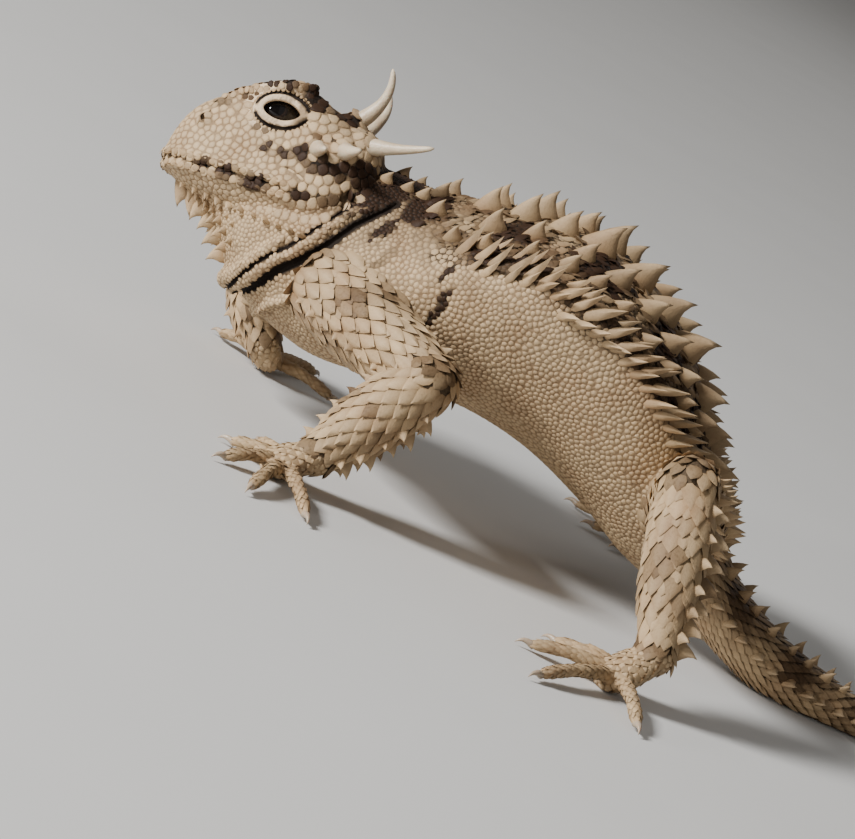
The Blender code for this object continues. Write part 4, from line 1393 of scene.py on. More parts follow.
def keeled_pattern(outline: Sequence[tuple[float, float, float]], keel: Sequence[tuple[float, float]],
                   root: tuple[float, float], tip: tuple[float, float], under: float) -> Pattern:
    """A leaf-shaped scale with a ridge along its middle.

    Args:
        outline: The edge between root and tip: along, half width and rise.
        keel: The ridge: along and rise.
        root: Along and rise.
        tip: Along and rise.
        under: How deep its foot goes into the skin.

    Returns:
        The pattern, with as many ridge points as edge points.
    """
    count = len(outline)
    points = [(root[0], 0.0, root[1])]
    points += [(along, half, rise) for along, half, rise in outline]
    points += [(along, -half, rise) for along, half, rise in outline]
    points += [(along, 0.0, rise) for along, rise in keel]
    points += [(tip[0], 0.0, tip[1]), (0.5 * (root[0] + tip[0]) - 0.1, 0.0, under)]
    left, right, ridge, end, foot = 1, 1 + count, 1 + 2 * count, 1 + 3 * count, 2 + 3 * count
    faces = [(0, ridge, left), (0, right, ridge), (foot, 0, left), (foot, right, 0)]
    for index in range(count):
        last = index == count - 1
        after = (end,) * 3 if last else (left + index + 1, right + index + 1, ridge + index + 1)
        faces += [(left + index, ridge + index, after[2]), (ridge + index, right + index, after[2])]
        faces += [(foot, left + index, after[0]), (foot, after[1], right + index)]
        if not last:
            faces += [(left + index, after[2], after[0]), (right + index, after[1], after[2])]
    return Pattern(np.array(points), np.array(faces))


LEAF = keeled_pattern(
    ((-0.3, 0.34, 0.0), (0.0, 0.5, 0.1), (0.3, 0.34, 0.3)), ((-0.25, 0.16), (0.05, 0.36), (0.36, 0.5)),
    (-0.5, -0.25), (0.62, 0.46), -0.45,
)
SCUTE = keeled_pattern(
    ((-0.34, 0.38, -0.08), (-0.06, 0.53, 0.0), (0.22, 0.44, 0.12), (0.45, 0.22, 0.34)),
    ((-0.3, 0.28), (-0.06, 0.52), (0.22, 0.7), (0.47, 0.7)), (-0.5, -0.25), (0.64, 0.56), -0.45,
)
BLADE = keeled_pattern(
    ((-0.3, 0.4, 0.02), (0.0, 0.46, 0.14), (0.34, 0.3, 0.4)), ((-0.28, 0.24), (0.02, 0.5), (0.38, 0.74)),
    (-0.5, -0.2), (0.72, 0.96), -0.4,
)


@dataclass(frozen=True)
class Pebble:
    """A close-fitted scale that ends half-way to its neighbours: rings of reach and rise, then its top."""

    sides: int
    rings: tuple[tuple[float, float], ...]
    top: float
    gap: float  # left free between two of them
    near: int = 14

    def outlines(self, sites: Sites, spacing: np.ndarray,
                 rng: np.random.Generator) -> tuple[np.ndarray, np.ndarray]:
        """How far each scale reaches on its own directions.

        Args:
            sites: The middles.
            spacing: The distance that each keeps from the next.
            rng: The source of the directions' turn.

        Returns:
            The directions, and the reach along each.
        """
        points, normals = sites.points.tolist(), sites.normals
        tree = search_tree(points)
        count = min(self.near, len(sites) - 1) + 1
        others = np.array([[other for _, other, _ in tree.find_n(point, count)] for point in points])
        x_axis = unit_rows(np.cross(normals, rng.normal(0.0, 1.0, normals.shape)))
        y_axis = np.cross(normals, x_axis)
        turns = TAU * np.arange(self.sides) / self.sides
        ways = x_axis[:, None, :] * np.cos(turns)[:, None] + y_axis[:, None, :] * np.sin(turns)[:, None]
        steps = sites.points[others[:, 1:]] - sites.points[:, None, :]
        along = np.einsum("nkc,njc->njk", ways, steps)
        far = (steps ** 2).sum(2)[:, :, None] / 2.0
        reach = np.where(along > 1e-4, far / np.maximum(along, 1e-4), 1e9).min(axis=1)
        reach = np.minimum(reach, 0.88 * spacing[:, None]) - self.gap / 2.0
        return ways, np.maximum(reach, 0.1 * spacing[:, None])


GRANULE = Pebble(7, ((1.0, -0.05), (0.9, 0.1), (0.55, 0.2)), 0.23, 0.02)
FINE_GRANULE = Pebble(6, ((1.0, -0.04), (0.86, 0.06)), 0.11, 0.02)
HEAD_PLATE = Pebble(9, ((1.0, -0.04), (0.93, 0.035), (0.6, 0.08)), 0.1, 0.03)


@dataclass
class Coat:
    """A piece made of many scales that ride on the skin."""

    name: str
    markings: Markings
    rng: np.random.Generator
    share: Marking = Marking.FULL
    faces: list[np.ndarray] = field(default_factory=list)
    columns: list[tuple[np.ndarray, ...]] = field(default_factory=list)
    count: int = 0

    patch = 0.003  # across, in the unit square of the scales' map
    most_triangles = 195000

    def lay(self, pattern: Pattern, sites: Sites, sizes: np.ndarray, lie: np.ndarray | None = None,
            spin: float = 0.0, tilt: float = 0.0) -> None:
        """Adds one scale of a pattern at each place.

        Args:
            pattern: The scale's shape.
            sites: The places.
            sizes: Length, width and rise of each, in millimetres.
            lie: The way that the tips point, where it isn't to the form's tip.
            spin: How far they may turn from the lie, in radians.
            tilt: How far their normals lean to the lie.
        """
        if not len(sites):
            return
        lie = sites.lie if lie is None else lie
        normals = unit_rows(sites.normals - tilt * lie)
        ahead = unit_rows(lie - normals * (lie * normals).sum(1)[:, None])
        angles = self.rng.uniform(-spin, spin, len(sites))[:, None]
        x_axis = ahead * np.cos(angles) + np.cross(normals, ahead) * np.sin(angles)
        axes = np.stack([x_axis, np.cross(normals, x_axis), normals], 1)
        shape = pattern.points[None] * sizes[:, None, :]
        self.add(sites.points[:, None, :] + np.einsum("npk,nkc->npc", shape, axes), pattern, 1.0, sites)

    def lay_pebbles(self, kind: Pebble, sites: Sites, spacing: np.ndarray) -> None:
        """Adds close-fitted scales.

        Args:
            kind: Their shape.
            sites: Their middles.
            spacing: The distance that each keeps from the next.
        """
        ways, reach = kind.outlines(sites, spacing, self.rng)
        lift = sites.normals * (spacing * self.rng.uniform(0.88, 1.12, len(sites)))[:, None]
        middle = sites.points[:, None, :]
        rings = [
            middle + ways * (reach * share)[:, :, None] + (lift * rise)[:, None, :]
            for share, rise in kind.rings
        ]
        points = np.concatenate([*rings, middle + (lift * kind.top)[:, None, :]], axis=1)
        shape = Pattern.stack(kind.sides, [(share, rise, 0.0) for share, rise in kind.rings], (kind.top, 0.0))
        self.add(points, shape, kind.top, sites)

    def add(self, points: np.ndarray, pattern: Pattern, top: float, sites: Sites) -> None:
        """Adds scales that share their faces, with each one's patch, tone, and share of the dark pattern and
        painted shade.

        Args:
            points: The points of each scale.
            pattern: The shape that they share.
            top: The rise of its top.
            sites: The scales' places.
        """
        total, per_scale = points.shape[:2]
        points[:, :, 2] = np.maximum(points[:, :, 2], 0.005)
        starts = self.count + per_scale * np.arange(total)
        self.faces.append((pattern.faces[None] + starts[:, None, None]).reshape(-1, 3))
        offsets = pattern.points[:, :2] / np.abs(pattern.points[:, :2]).max() * (self.patch / 2)
        patches = sites.patch[:, None, :] + offsets[None]
        self.columns.append((
            points.reshape(-1, 3),
            np.clip(patches, 0.0, 1.0).reshape(-1, 2),
            np.repeat(self.rng.normal(0.0, 1.0, total), per_scale),
            np.repeat(self.markings.at(sites) * self.share.value, per_scale),
            np.tile(np.clip(pattern.points[:, 2] / top, 0.0, 1.0), total),
        ))
        self.count += total * per_scale

    def build(self) -> list[bpy.types.Object]:
        """Makes the coat's mesh, in as many pieces as its triangles need.

        Returns:
            The pieces, still in millimetres.
        """
        faces = np.concatenate(self.faces)
        parts = math.ceil(len(faces) / self.most_triangles)
        size = math.ceil(len(faces) / parts)
        columns = [np.concatenate(rows) for rows in zip(*self.columns)]
        cuts = [0, *(self.scale_start(faces, part * size) for part in range(1, parts)), len(faces)]
        found = []
        for part in range(parts):
            used, mine = np.unique(faces[cuts[part]:cuts[part + 1]], return_inverse=True)
            name = self.name if parts == 1 else f"{self.name}_{part + 1}"
            found.append(scale_mesh(name, mine.reshape(-1, 3), *(column[used] for column in columns)))
        return found

    @staticmethod
    def scale_start(faces: np.ndarray, near: int) -> int:
        """The first face of a scale at or after a place in the list, so that no scale is cut in two.

        Args:
            faces: The coat's faces, scale after scale.
            near: The place in the list.

        Returns:
            The place of the scale's first face.
        """
        highest = faces[:near].max()
        while near < len(faces) and faces[near].min() <= highest:
            highest = max(highest, faces[near].max())
            near += 1
        return near


def scale_mesh(name: str, faces: np.ndarray, points: np.ndarray, patches: np.ndarray, tones: np.ndarray,
               marks: np.ndarray, rises: np.ndarray) -> bpy.types.Object:
    """A mesh object from arrays, with the map and the attributes that its finish reads.

    Args:
        name: The piece's name.
        faces: Triangles.
        points: Places in millimetres.
        patches: Each point's place in the map.
        tones: Each scale's own difference in tone.
        marks: The pattern, from pale to dark.
        rises: How high over the skin, from the foot to the tip.

    Returns:
        The object.
    """
    mesh = bpy.data.meshes.new(name)
    mesh.vertices.add(len(points))
    mesh.vertices.foreach_set("co", points.astype(np.float32).ravel())
    mesh.loops.add(faces.size)
    mesh.loops.foreach_set("vertex_index", faces.astype(np.int32).ravel())
    mesh.polygons.add(len(faces))
    mesh.polygons.foreach_set("loop_start", np.arange(0, faces.size, 3, dtype=np.int32))
    mesh.update(calc_edges=True)
    layer = mesh.uv_layers.new(name="OFBake")
    layer.data.foreach_set("uv", patches[faces.ravel()].astype(np.float32).ravel())
    carry(mesh, tone=tones, mark=marks, rise=rises)
    mesh.shade_smooth()
    mesh.set_sharp_from_angle(angle=math.radians(66))
    piece = bpy.data.objects.new(name, mesh)
    bpy.context.scene.collection.objects.link(piece)
    return piece


class Scatter:
    """Sets places for scales evenly over the skin."""

    def __init__(self, skin: bpy.types.Object, anatomy: Anatomy, rng: np.random.Generator) -> None:
        """Reads the skin's triangles.

        Args:
            skin: The finished skin, in millimetres.
            anatomy: Finds the form that a place lies on.
            rng: The source of all draws.
        """
        mesh = skin.data
        mesh.calc_loop_triangles()
        self.corners = read_rows(mesh.loop_triangles, "vertices", 3, np.int32)
        self.points = read_rows(mesh.vertices, "co", 3)
        self.normals = read_rows(mesh.vertices, "normal", 3)
        a, b, c = self.points[self.corners].transpose(1, 0, 2)
        self.areas = np.linalg.norm(np.cross(b - a, c - a), axis=1) / 2
        self.anatomy = anatomy
        self.rng = rng

    def candidates(self, density: float) -> Sites:
        """Random places over the whole skin.

        Args:
            density: How many to a square millimetre.

        Returns:
            The places, with what they lie on.
        """
        total = int(self.areas.sum() * density)
        chosen = self.rng.choice(len(self.areas), total, p=self.areas / self.areas.sum())
        shares = self.rng.dirichlet((1.0, 1.0, 1.0), total)[:, :, None]
        points = (self.points[self.corners[chosen]] * shares).sum(1)
        normals = unit_rows((self.normals[self.corners[chosen]] * shares).sum(1))
        return self.anatomy.locate(points, normals)

    def spread(self, sites: Sites, spacing: np.ndarray) -> tuple[Sites, np.ndarray]:
        """Thins candidates until each keeps its own distance from the next.

        Args:
            sites: Many random places.
            spacing: The distance that each wants.

        Returns:
            The places that are left, and their distances.
        """
        points = sites.points.tolist()
        tree = search_tree(points)
        free = np.ones(len(sites), bool)
        kept = []
        for index, point in enumerate(points):
            if free[index]:
                kept.append(index)
                free[[other for _, other, _ in tree.find_range(point, spacing[index])]] = False
        chosen = np.array(kept, int)
        return sites.pick(chosen), spacing[chosen]


def even_out(sites: Sites, spacing: np.ndarray, tree: BVHTree, anatomy: Anatomy) -> Sites:
    """Pushes close places apart along the skin, so that they settle into even rows.

    Args:
        sites: The places.
        spacing: The distance that each wants.
        tree: The skin's faces.
        anatomy: Finds what the moved places lie on.

    Returns:
        The moved places, in the same order.
    """
    points, normals = sites.points, sites.normals
    for _ in range(3):
        places = points.tolist()
        near = search_tree(places)
        others = np.array([[other for _, other, _ in near.find_n(place, 8)] for place in places])[:, 1:]
        steps = points[:, None, :] - points[others]
        far = np.maximum(np.linalg.norm(steps, axis=2), 1e-6)
        push = np.maximum(1.0 - far / (1.3 * spacing[:, None]), 0.0) / far
        points = points + 0.42 * spacing[:, None] * (steps * push[:, :, None]).sum(1)
        hits = [tree.find_nearest(point) for point in points.tolist()]
        points, normals = (np.array([hit[part][:] for hit in hits]) for part in (0, 1))
    return anatomy.locate(points, normals)


@dataclass
class Lattice:
    """Sets places in rows on the skin: staggered round a form, as scales grow, or along a side."""

    tree: BVHTree
    anatomy: Anatomy

    def round(self, form: Form, step: float, width: float, reach: float = 1.3) -> tuple[Sites, np.ndarray]:
        """Staggered rows round a limb or the tail, with a count that holds while the girth allows it.

        Args:
            form: The form.
            step: The distance from row to row.
            width: The distance in a row.
            reach: How far the skin may lie from the form.

        Returns:
            The places found on the skin, and the distance to the next in the row of each.
        """
        centres = form.centres
        lengths = np.concatenate([[0.0], np.cumsum(np.linalg.norm(np.diff(centres, axis=0), axis=1))])
        rows, count = [], 0
        for row in range(1, int(lengths[-1] / step)):
            place = row * step
            ring = min(int(np.searchsorted(lengths, place)) - 1, len(centres) - 2)
            share = (place - lengths[ring]) / (lengths[ring + 1] - lengths[ring])
            shape = form.rings[ring] * (1 - share) + form.rings[ring + 1] * share
            girth = np.linalg.norm(shape - np.roll(shape, 1, axis=0), axis=1).sum()
            if not 0.78 < girth / (max(count, 1) * width) < 1.25:
                count = max(6, round(girth / width))
            for index in range(count):
                turn = (index + 0.5 * (row % 2)) / count * len(shape)
                first = int(turn) % len(shape)
                edge = shape[first] * (1 - turn % 1.0) + shape[(first + 1) % len(shape)] * (turn % 1.0)
                outward = Vector(edge - shape.mean(axis=0)).normalized()
                hit, normal, _, _ = self.tree.ray_cast(Vector(edge) + outward * reach, -outward, 2 * reach)
                if hit is not None and normal.dot(outward) > 0.35:
                    rows.append((hit, normal, girth / count))
        return self.gather(rows)

    def gather(self, rows: Sequence[tuple]) -> tuple:
        """Makes places of rows that were found one by one.

        Args:
            rows: For each the point, the skin's normal there, and whatever else is known of it.

        Returns:
            The places, and then an array for each further column.
        """
        points, normals, *more = (np.array(column) for column in zip(*rows))
        return (self.anatomy.locate(points, normals), *more)

    def along_trunk(self, trunk: Trunk, row: SpineRow, rng: np.random.Generator) -> Sites:
        """One row of spines along each side of the trunk.

        Args:
            trunk: The trunk.
            row: Where the row runs.
            rng: The source of small differences.

        Returns:
            The places found on the skin.
        """
        rows = []
        for side in Side:
            station = row.first + rng.uniform(0.0, 0.2)
            while station < row.last:
                turn = row.turn + rng.uniform(-0.025, 0.025)
                turn += float(fringe_turn(station)) if row.fringe else 0.0
                angle = side.value * turn * math.pi / 2
                hit, normal, _, distance = self.tree.find_nearest(trunk.point(station, angle))
                if distance < 1.2:
                    rows.append((hit, normal))
                station += row.spacing * rng.uniform(0.85, 1.15) / trunk.length_between(station, angle)
        return self.gather(rows)[0]


def fringe_turn(station: np.ndarray | float) -> np.ndarray:
    """Where the fringe of the side lies: 0 on the back, 1 at the side."""
    return np.interp(station, (6.4, 7.6, 8.6, 9.6, 11.0, 12.6), (0.66, 0.8, 0.93, 0.88, 0.76, 0.6))


@dataclass(frozen=True)
class SpineRow:
    """A row of large spines. A fringe row's turn counts from the middle of the fringe."""

    turn: float  # 0 on the back, 1 at the side
    height: float
    spacing: float
    first: float  # station
    last: float
    fringe: bool = False


BACK_ROWS = (
    SpineRow(0.12, 3.6, 4.9, 4.9, 13.6),
    SpineRow(0.36, 2.9, 5.1, 5.2, 13.2),
    SpineRow(0.58, 2.1, 4.6, 6.0, 12.4),
    SpineRow(0.25, 2.2, 2.6, 3.3, 4.7),
)
FRINGE_ROWS = (
    SpineRow(-0.14, 2.7, 2.6, 6.6, 12.8, True),
    SpineRow(-0.02, 3.9, 2.3, 6.4, 12.8, True),
    SpineRow(0.11, 2.7, 2.1, 6.8, 12.6, True),
)
TAIL_ROWS = (SpineRow(0.3, 2.3, 3.0, 13.8, 20.4), SpineRow(0.95, 2.5, 2.6, 13.6, 20.6))


class Dresser:
    """Lays every kind of scale on the skin."""

    # for each length of a leg, the distance from row to row and in a row, and the scales' rise
    leg_rows = {
        "fore": ((Region.UPPER, 1.75, 2.2, 0.27), (Region.LOWER, 1.4, 1.75, 0.3)),
        "hind": ((Region.UPPER, 1.75, 2.2, 0.22), (Region.LOWER, 1.75, 2.2, 0.2)),
    }
    # for each edge of a leg, its turn from the rear, and the height and spacing of its spines
    edge_rows = {
        "fore": ((0.0, 2.0, 2.4), (0.5, 1.7, 2.6), (-0.5, 1.7, 2.6), (math.pi, 1.4, 2.3)),
        "hind": ((0.0, 2.7, 2.6), (0.5, 2.0, 2.8), (-0.5, 2.0, 2.8)),
    }
    # under the jaw, degrees from the middle, and the height and spacing of the spines
    gular_rows = ((0.0, 2.2, 1.9), (16.0, 1.15, 1.6), (30.0, 0.95, 1.6), (44.0, 0.7, 1.5), (56.0, 0.6, 1.5))
    rosette = 8  # scales round the foot of a spine
    lid_grow = 1.42
    lid_spacing = 0.5
    lip_rise = 0.68
    lip_spacing = 1.02

    def __init__(self, trunk: Trunk, skin: Skin, anatomy: Anatomy) -> None:
        """Sets the large spines, and the candidates for the coats of the legs.

        Args:
            trunk: The trunk, for its rows.
            skin: The finished skin.
            anatomy: Finds the form that a place lies on.
        """
        self.rng = np.random.default_rng(SEED)
        self.trunk = trunk
        self.skin = skin
        self.anatomy = anatomy
        self.lattice = Lattice(skin.tree, anatomy)
        self.scatter = Scatter(skin.piece, anatomy, self.rng)
        self.forms = {form.name: form for form in anatomy.forms}
        self.spines = self.spine_rows()
        self.markings = Markings(self.spines[0][0].points.tolist())
        places = self.scatter.candidates(6.0)
        self.limb_candidates = places.pick(self.on_limb(places))

    def coat(self, name: str, share: Marking = Marking.FULL) -> Coat:
        """An empty coat piece."""
        return Coat(name, self.markings, self.rng, share)

    def on_limb(self, sites: Sites) -> np.ndarray:
        """Which places lie on the upper or lower length of a leg, clear of the creases."""
        return sites.on(Region.UPPER, Region.LOWER) & (self.skin.crease_reach(sites.points) > 1.5)

    def sizes(self, sites: Sites, length: float | np.ndarray, width: float, rise: float,
              vary: float) -> np.ndarray:
        """Lengths, widths and rises of scales, with small differences.

        Args:
            sites: Their places.
            length: The length of each.
            width: Width as a share of the length.
            rise: Rise as a share of the length.
            vary: How large the differences are.

        Returns:
            Three columns.
        """
        change = 1.0 + vary * self.rng.uniform(-1.0, 1.0, (len(sites), 3))
        return np.reshape(length, (-1, 1)) * np.array((1.0, width, rise)) * change

    def spine_rows(self) -> list[tuple[Sites, np.ndarray]]:
        """The large spines of the back, the fringe and the tail, with their heights.

        Returns:
            For each of the three the places and the heights.
        """
        found = []
        for rows in (BACK_ROWS, FRINGE_ROWS, TAIL_ROWS):
            groups, heights = [], []
            for row in rows:
                places = self.lattice.along_trunk(self.trunk, row, self.rng)
                places = places.pick(places.on(Region.TRUNK, Region.TAIL))
                shrink = np.interp(places.station, (5.0, 7.5, 12.0, 16.0, 21.0), (0.7, 1.0, 0.95, 0.8, 0.35))
                groups.append(places)
                heights.append(row.height * shrink * self.rng.uniform(0.82, 1.15, len(places)))
            found.append((Sites.merge(groups), np.concatenate(heights)))
        return found

    def clear_sites(self, density: float) -> Sites:
        """Random places that keep off the openings, the creases and the soles.

        Args:
            density: How many to a square millimetre, before any are left out.

        Returns:
            The places that are kept.
        """
        sites = self.scatter.candidates(density)
        keep = (eye_distance(sites.points) > 6.0) | (self.lid_share(sites.points) > 1.0)
        keep &= ~sites.facing_floor(0.5)
        for side in Side:
            for hollow, reach in ((self.skin.nostril, 0.7), (self.skin.ear, 0.9)):
                keep &= distance_to(sites.points, self.skin.cast(*hollow, (0, side.value, 0))[0]) > reach
        keep &= reach_of(sites.points, self.skin.fine_mouth_line()) > 0.5
        keep &= self.skin.crease_reach(sites.points) > 1.2
        return sites.pick(keep)

    def lid_share(self, points: np.ndarray) -> np.ndarray:
        """How far out from the lids' middle each point lies, 1 where the plates of the head begin.

        Args:
            points: Points of the head.

        Returns:
            A share for each.
        """
        local = head_places(points)
        forward, up = self.skin.opening_shift
        along = (local[:, 0] + EYE_BACK - forward) / (self.skin.opening_length / 2 + 1.75)
        rise = (local[:, 2] - EYE_UP - up) / (self.skin.opening_height / 2 + 1.75)
        return np.hypot(along, rise)

    def close_fitted(self, sites: Sites, spacing: np.ndarray, keep: np.ndarray) -> tuple[Sites, np.ndarray]:
        """Thins the places that are kept and evens them out, and gives their distances with them."""
        sites, spacing = self.scatter.spread(sites.pick(keep), spacing[keep])
        return even_out(sites, spacing, self.skin.tree, self.anatomy), spacing

    def granules(self) -> list[bpy.types.Object]:
        """The fine grain of the trunk and neck, and the small scales of hands and feet.

        Returns:
            The pieces, still in millimetres.
        """
        sites = self.clear_sites(26.0)
        flank = 0.52 + 0.2 * smooth_step(sites.turn, 0.8, 0.6) + 0.14 * smooth_step(sites.turn, 1.5, 1.8)
        spacing = np.where(sites.on(Region.TRUNK), np.where(sites.station < 5.4, 0.44, flank), 0.6)
        roots = np.concatenate([group.points for group, _ in self.spines]).tolist()
        keep = sites.on(Region.TRUNK, Region.FOOT) & (reach_of(sites.points, roots) > 0.75)
        sites, spacing = self.close_fitted(sites, spacing, keep)
        LOG.info("%d granules", len(sites))
        found = []
        for name, kind, regions in (
            ("trunk_granules", FINE_GRANULE, (Region.TRUNK, Region.TAIL)),
            ("foot_granules", GRANULE, (Region.FOOT,)),
        ):
            coat, chosen = self.coat(name), sites.on(*regions)
            coat.lay_pebbles(kind, sites.pick(chosen), spacing[chosen])
            found += coat.build()
        return found

    def back_scales(self) -> list[bpy.types.Object]:
        """Keeled scales strewn over the back, and those round its spines.

        Returns:
            The pieces, still in millimetres.
        """
        sites = self.clear_sites(7.0)
        back = (sites.station > 4.8) & (sites.turn < fringe_turn(sites.station) - 0.1)
        sites = sites.pick(sites.on(Region.TRUNK) & back)
        sites, spacing = self.scatter.spread(sites, np.full(len(sites), 1.6))
        LOG.info("%d back scales", len(sites))
        coat = self.coat("back_scales")
        sizes = self.sizes(sites, spacing * 1.1, 0.75, 0.4, 0.2)
        coat.lay(SCUTE, sites, sizes, lie=self.rise_lie(sites, np.array([0.15])), spin=0.25, tilt=0.04)
        coat.lay(LEAF, *self.rosettes(), spin=0.2, tilt=0.06)
        return coat.build()

    @staticmethod
    def rise_lie(sites: Sites, share: np.ndarray) -> np.ndarray:
        """The lie of the scales, turned partly up the side of the body.

        Args:
            sites: Places on the trunk.
            share: How far each turns from the tail to the back.

        Returns:
            Directions of length one.
        """
        upward = np.array([0.0, 0.0, 1.0]) - sites.normals * sites.normals[:, 2:]
        return unit_rows(sites.lie + unit_rows(upward) * share[:, None])

    def rosettes(self) -> tuple[Sites, np.ndarray]:
        """A ring of scales round the foot of each large spine of the back, leaning outwards.

        Returns:
            The places, each with its own lie, and the sizes.
        """
        rows = []
        sites, heights = self.spines[0]
        for place, normal, lie, height in zip(sites.points, sites.normals, sites.lie, heights):
            ahead = unit_rows((lie - normal * (lie @ normal))[None])[0]
            beside = np.cross(normal, ahead)
            for step in range(self.rosette):
                turn = TAU * (step + 0.5) / self.rosette + self.rng.uniform(-0.15, 0.15)
                way = ahead * math.cos(turn) + beside * math.sin(turn)
                hit, hit_normal, _, _ = self.skin.tree.find_nearest(Vector(place + way * 0.6 * height))
                rows.append((hit, hit_normal, way, height * 0.5))
        made, lies, lengths = self.lattice.gather(rows)
        made.lie = lies
        return made, self.sizes(made, lengths, 0.72, 0.6, 0.15)

    def large_spines(self) -> list[bpy.types.Object]:
        """The spines of the back, the fringe and the tail.

        Returns:
            The pieces, still in millimetres.
        """
        coat = self.coat("spines", Marking.SOFT)
        shapes = (
            (THORN, (1.4, 0.95, 1.0), 0.16), (BLADE, (1.15, 0.42, 0.5), 0.28), (THORN, (1.1, 0.8, 1.0), 0.3)
        )
        for (sites, heights), (pattern, shares, tilt) in zip(self.spines, shapes):
            lie = self.rise_lie(sites, np.where(sites.turn > 0.62, 0.8, 0.0))
            coat.lay(pattern, sites, heights[:, None] * np.array(shares), lie=lie, spin=0.14, tilt=tilt)
        return coat.build()

    def limb_scales(self) -> list[bpy.types.Object]:
        """Overlapping keeled scales of the legs, with pointed ones along their rear edges.

        Returns:
            The pieces, still in millimetres.
        """
        found = []
        for leg in LEGS:
            coat, laid = self.coat(f"{leg.name}_scales"), []
            for region, step, width, rise in self.leg_rows[leg.name[:4]]:
                sites, widths = self.lattice.round(self.forms[leg.part(region)], step, width)
                chosen = self.on_limb(sites)
                sites = sites.pick(chosen)
                sizes = self.sizes(sites, step * 1.95, 1.0, rise, 0.1)
                sizes[:, 1] = widths[chosen] * self.rng.uniform(0.98, 1.08, len(sites))
                coat.lay(SCUTE, sites, sizes, spin=0.1, tilt=0.06)
                laid.append(sites)
            coat.lay(*self.bare_places(leg, Sites.merge(laid)), spin=0.3, tilt=0.1)
            coat.lay(*self.toe_rows(leg), spin=0.05, tilt=0.03)
            coat.lay(*self.edge_spines(leg), spin=0.2, tilt=0.3)
            sole, _ = self.lattice.round(self.forms[leg.part(Region.FOOT)], 0.85, 1.0)
            sole = sole.pick(sole.points[:, 2] > 0.6)
            coat.lay(LEAF, sole, self.sizes(sole, 1.6, 0.6, 0.2, 0.1), spin=0.15, tilt=0.1)
            found += coat.build()
        return found

    def toe_rows(self, leg: Leg) -> tuple[Pattern, Sites, np.ndarray]:
        """The overlapping scales round each digit of a leg.

        Args:
            leg: The leg.

        Returns:
            The pattern, the places and the sizes.
        """
        groups, widths = [], []
        for form in self.anatomy.forms:
            if form.name == leg.part(Region.TOE):
                sites, width = self.lattice.round(form, 0.66, 0.85, 0.8)
                chosen = sites.on(Region.TOE) & ~sites.facing_floor(0.4)
                groups.append(sites.pick(chosen))
                widths.append(width[chosen])
        sites = Sites.merge(groups)
        sizes = self.sizes(sites, 1.2, 1.0, 0.16, 0.08)
        sizes[:, 1] = 1.08 * np.concatenate(widths)
        return SCUTE, sites, sizes

    def bare_places(self, leg: Leg, laid: Sites) -> tuple[Pattern, Sites, np.ndarray]:
        """Scales for the skin of a leg that its rows have missed, as at the elbow and the knee.

        Args:
            leg: The leg.
            laid: The places that are taken.

        Returns:
            The pattern, the places and the sizes.
        """
        names = [form.name for form in self.anatomy.forms]
        mine = [names.index(leg.part(region)) for region in (Region.UPPER, Region.LOWER)]
        sites = self.limb_candidates.pick(np.isin(self.limb_candidates.form, mine))
        sites = sites.pick(reach_of(sites.points, laid.points.tolist()) > 1.05)
        sites, spacing = self.scatter.spread(sites, np.full(len(sites), 1.15))
        return SCUTE, sites, self.sizes(sites, spacing * 2.0, 0.8, 0.24, 0.1)

    def edge_spines(self, leg: Leg) -> tuple[Pattern, Sites, np.ndarray]:
        """Pointed scales along the edges of a leg that face the tail and the front.

        Args:
            leg: The leg.

        Returns:
            The pattern, the places and the sizes.
        """
        rows = []
        root, knee, wrist, _ = leg.points()
        for start, end, reach in ((root, knee, leg.radii[0]), (knee, wrist, leg.radii[1])):
            down = (end - start).normalized()
            rear = Vector((-1, 0, 0.25))
            rear = (rear - down * rear.dot(down)).normalized()
            beside = down.cross(rear)
            for turn, height, spacing in self.edge_rows[leg.name[:4]]:
                way = rear * math.cos(turn) + beside * math.sin(turn)
                place = 2.4 + self.rng.uniform(0.0, 1.0)
                while place < (end - start).length - 0.8:
                    middle = start + down * place
                    hit, normal, _, _ = self.skin.tree.ray_cast(middle + way * (reach + 3.0), -way, 6.0)
                    if hit is not None and (hit - middle).length < reach + 1.2:
                        rows.append((hit, normal, height * self.rng.uniform(0.8, 1.15)))
                    place += spacing * self.rng.uniform(0.85, 1.15)
        sites, heights = self.lattice.gather(rows)
        chosen = sites.on(Region.UPPER, Region.LOWER)
        return THORN, sites.pick(chosen), heights[chosen][:, None] * np.array((1.3, 0.95, 0.85))

    def tail_scales(self) -> list[bpy.types.Object]:
        """Whorls of keeled scales round the tail.

        Returns:
            The pieces, still in millimetres.
        """
        form = self.forms["trunk"]
        tail = Form("tail", Region.TAIL, form.rings[int(13.4 * self.trunk.per_span):], form.chart)
        sites, widths = self.lattice.round(tail, 1.1, 1.45)
        chosen = sites.on(Region.TRUNK, Region.TAIL) & ~sites.facing_floor(0.5)
        sites = sites.pick(chosen)
        coat = self.coat("tail_scales")
        length = np.interp(sites.station, (13.0, 17.0, 21.0), (2.5, 2.3, 1.5))
        sizes = self.sizes(sites, length, 1.0, 0.28, 0.1)
        sizes[:, 1] = widths[chosen] * self.rng.uniform(0.88, 0.98, len(sites))
        coat.lay(LEAF, sites, sizes, spin=0.1, tilt=0.12)
        return coat.build()

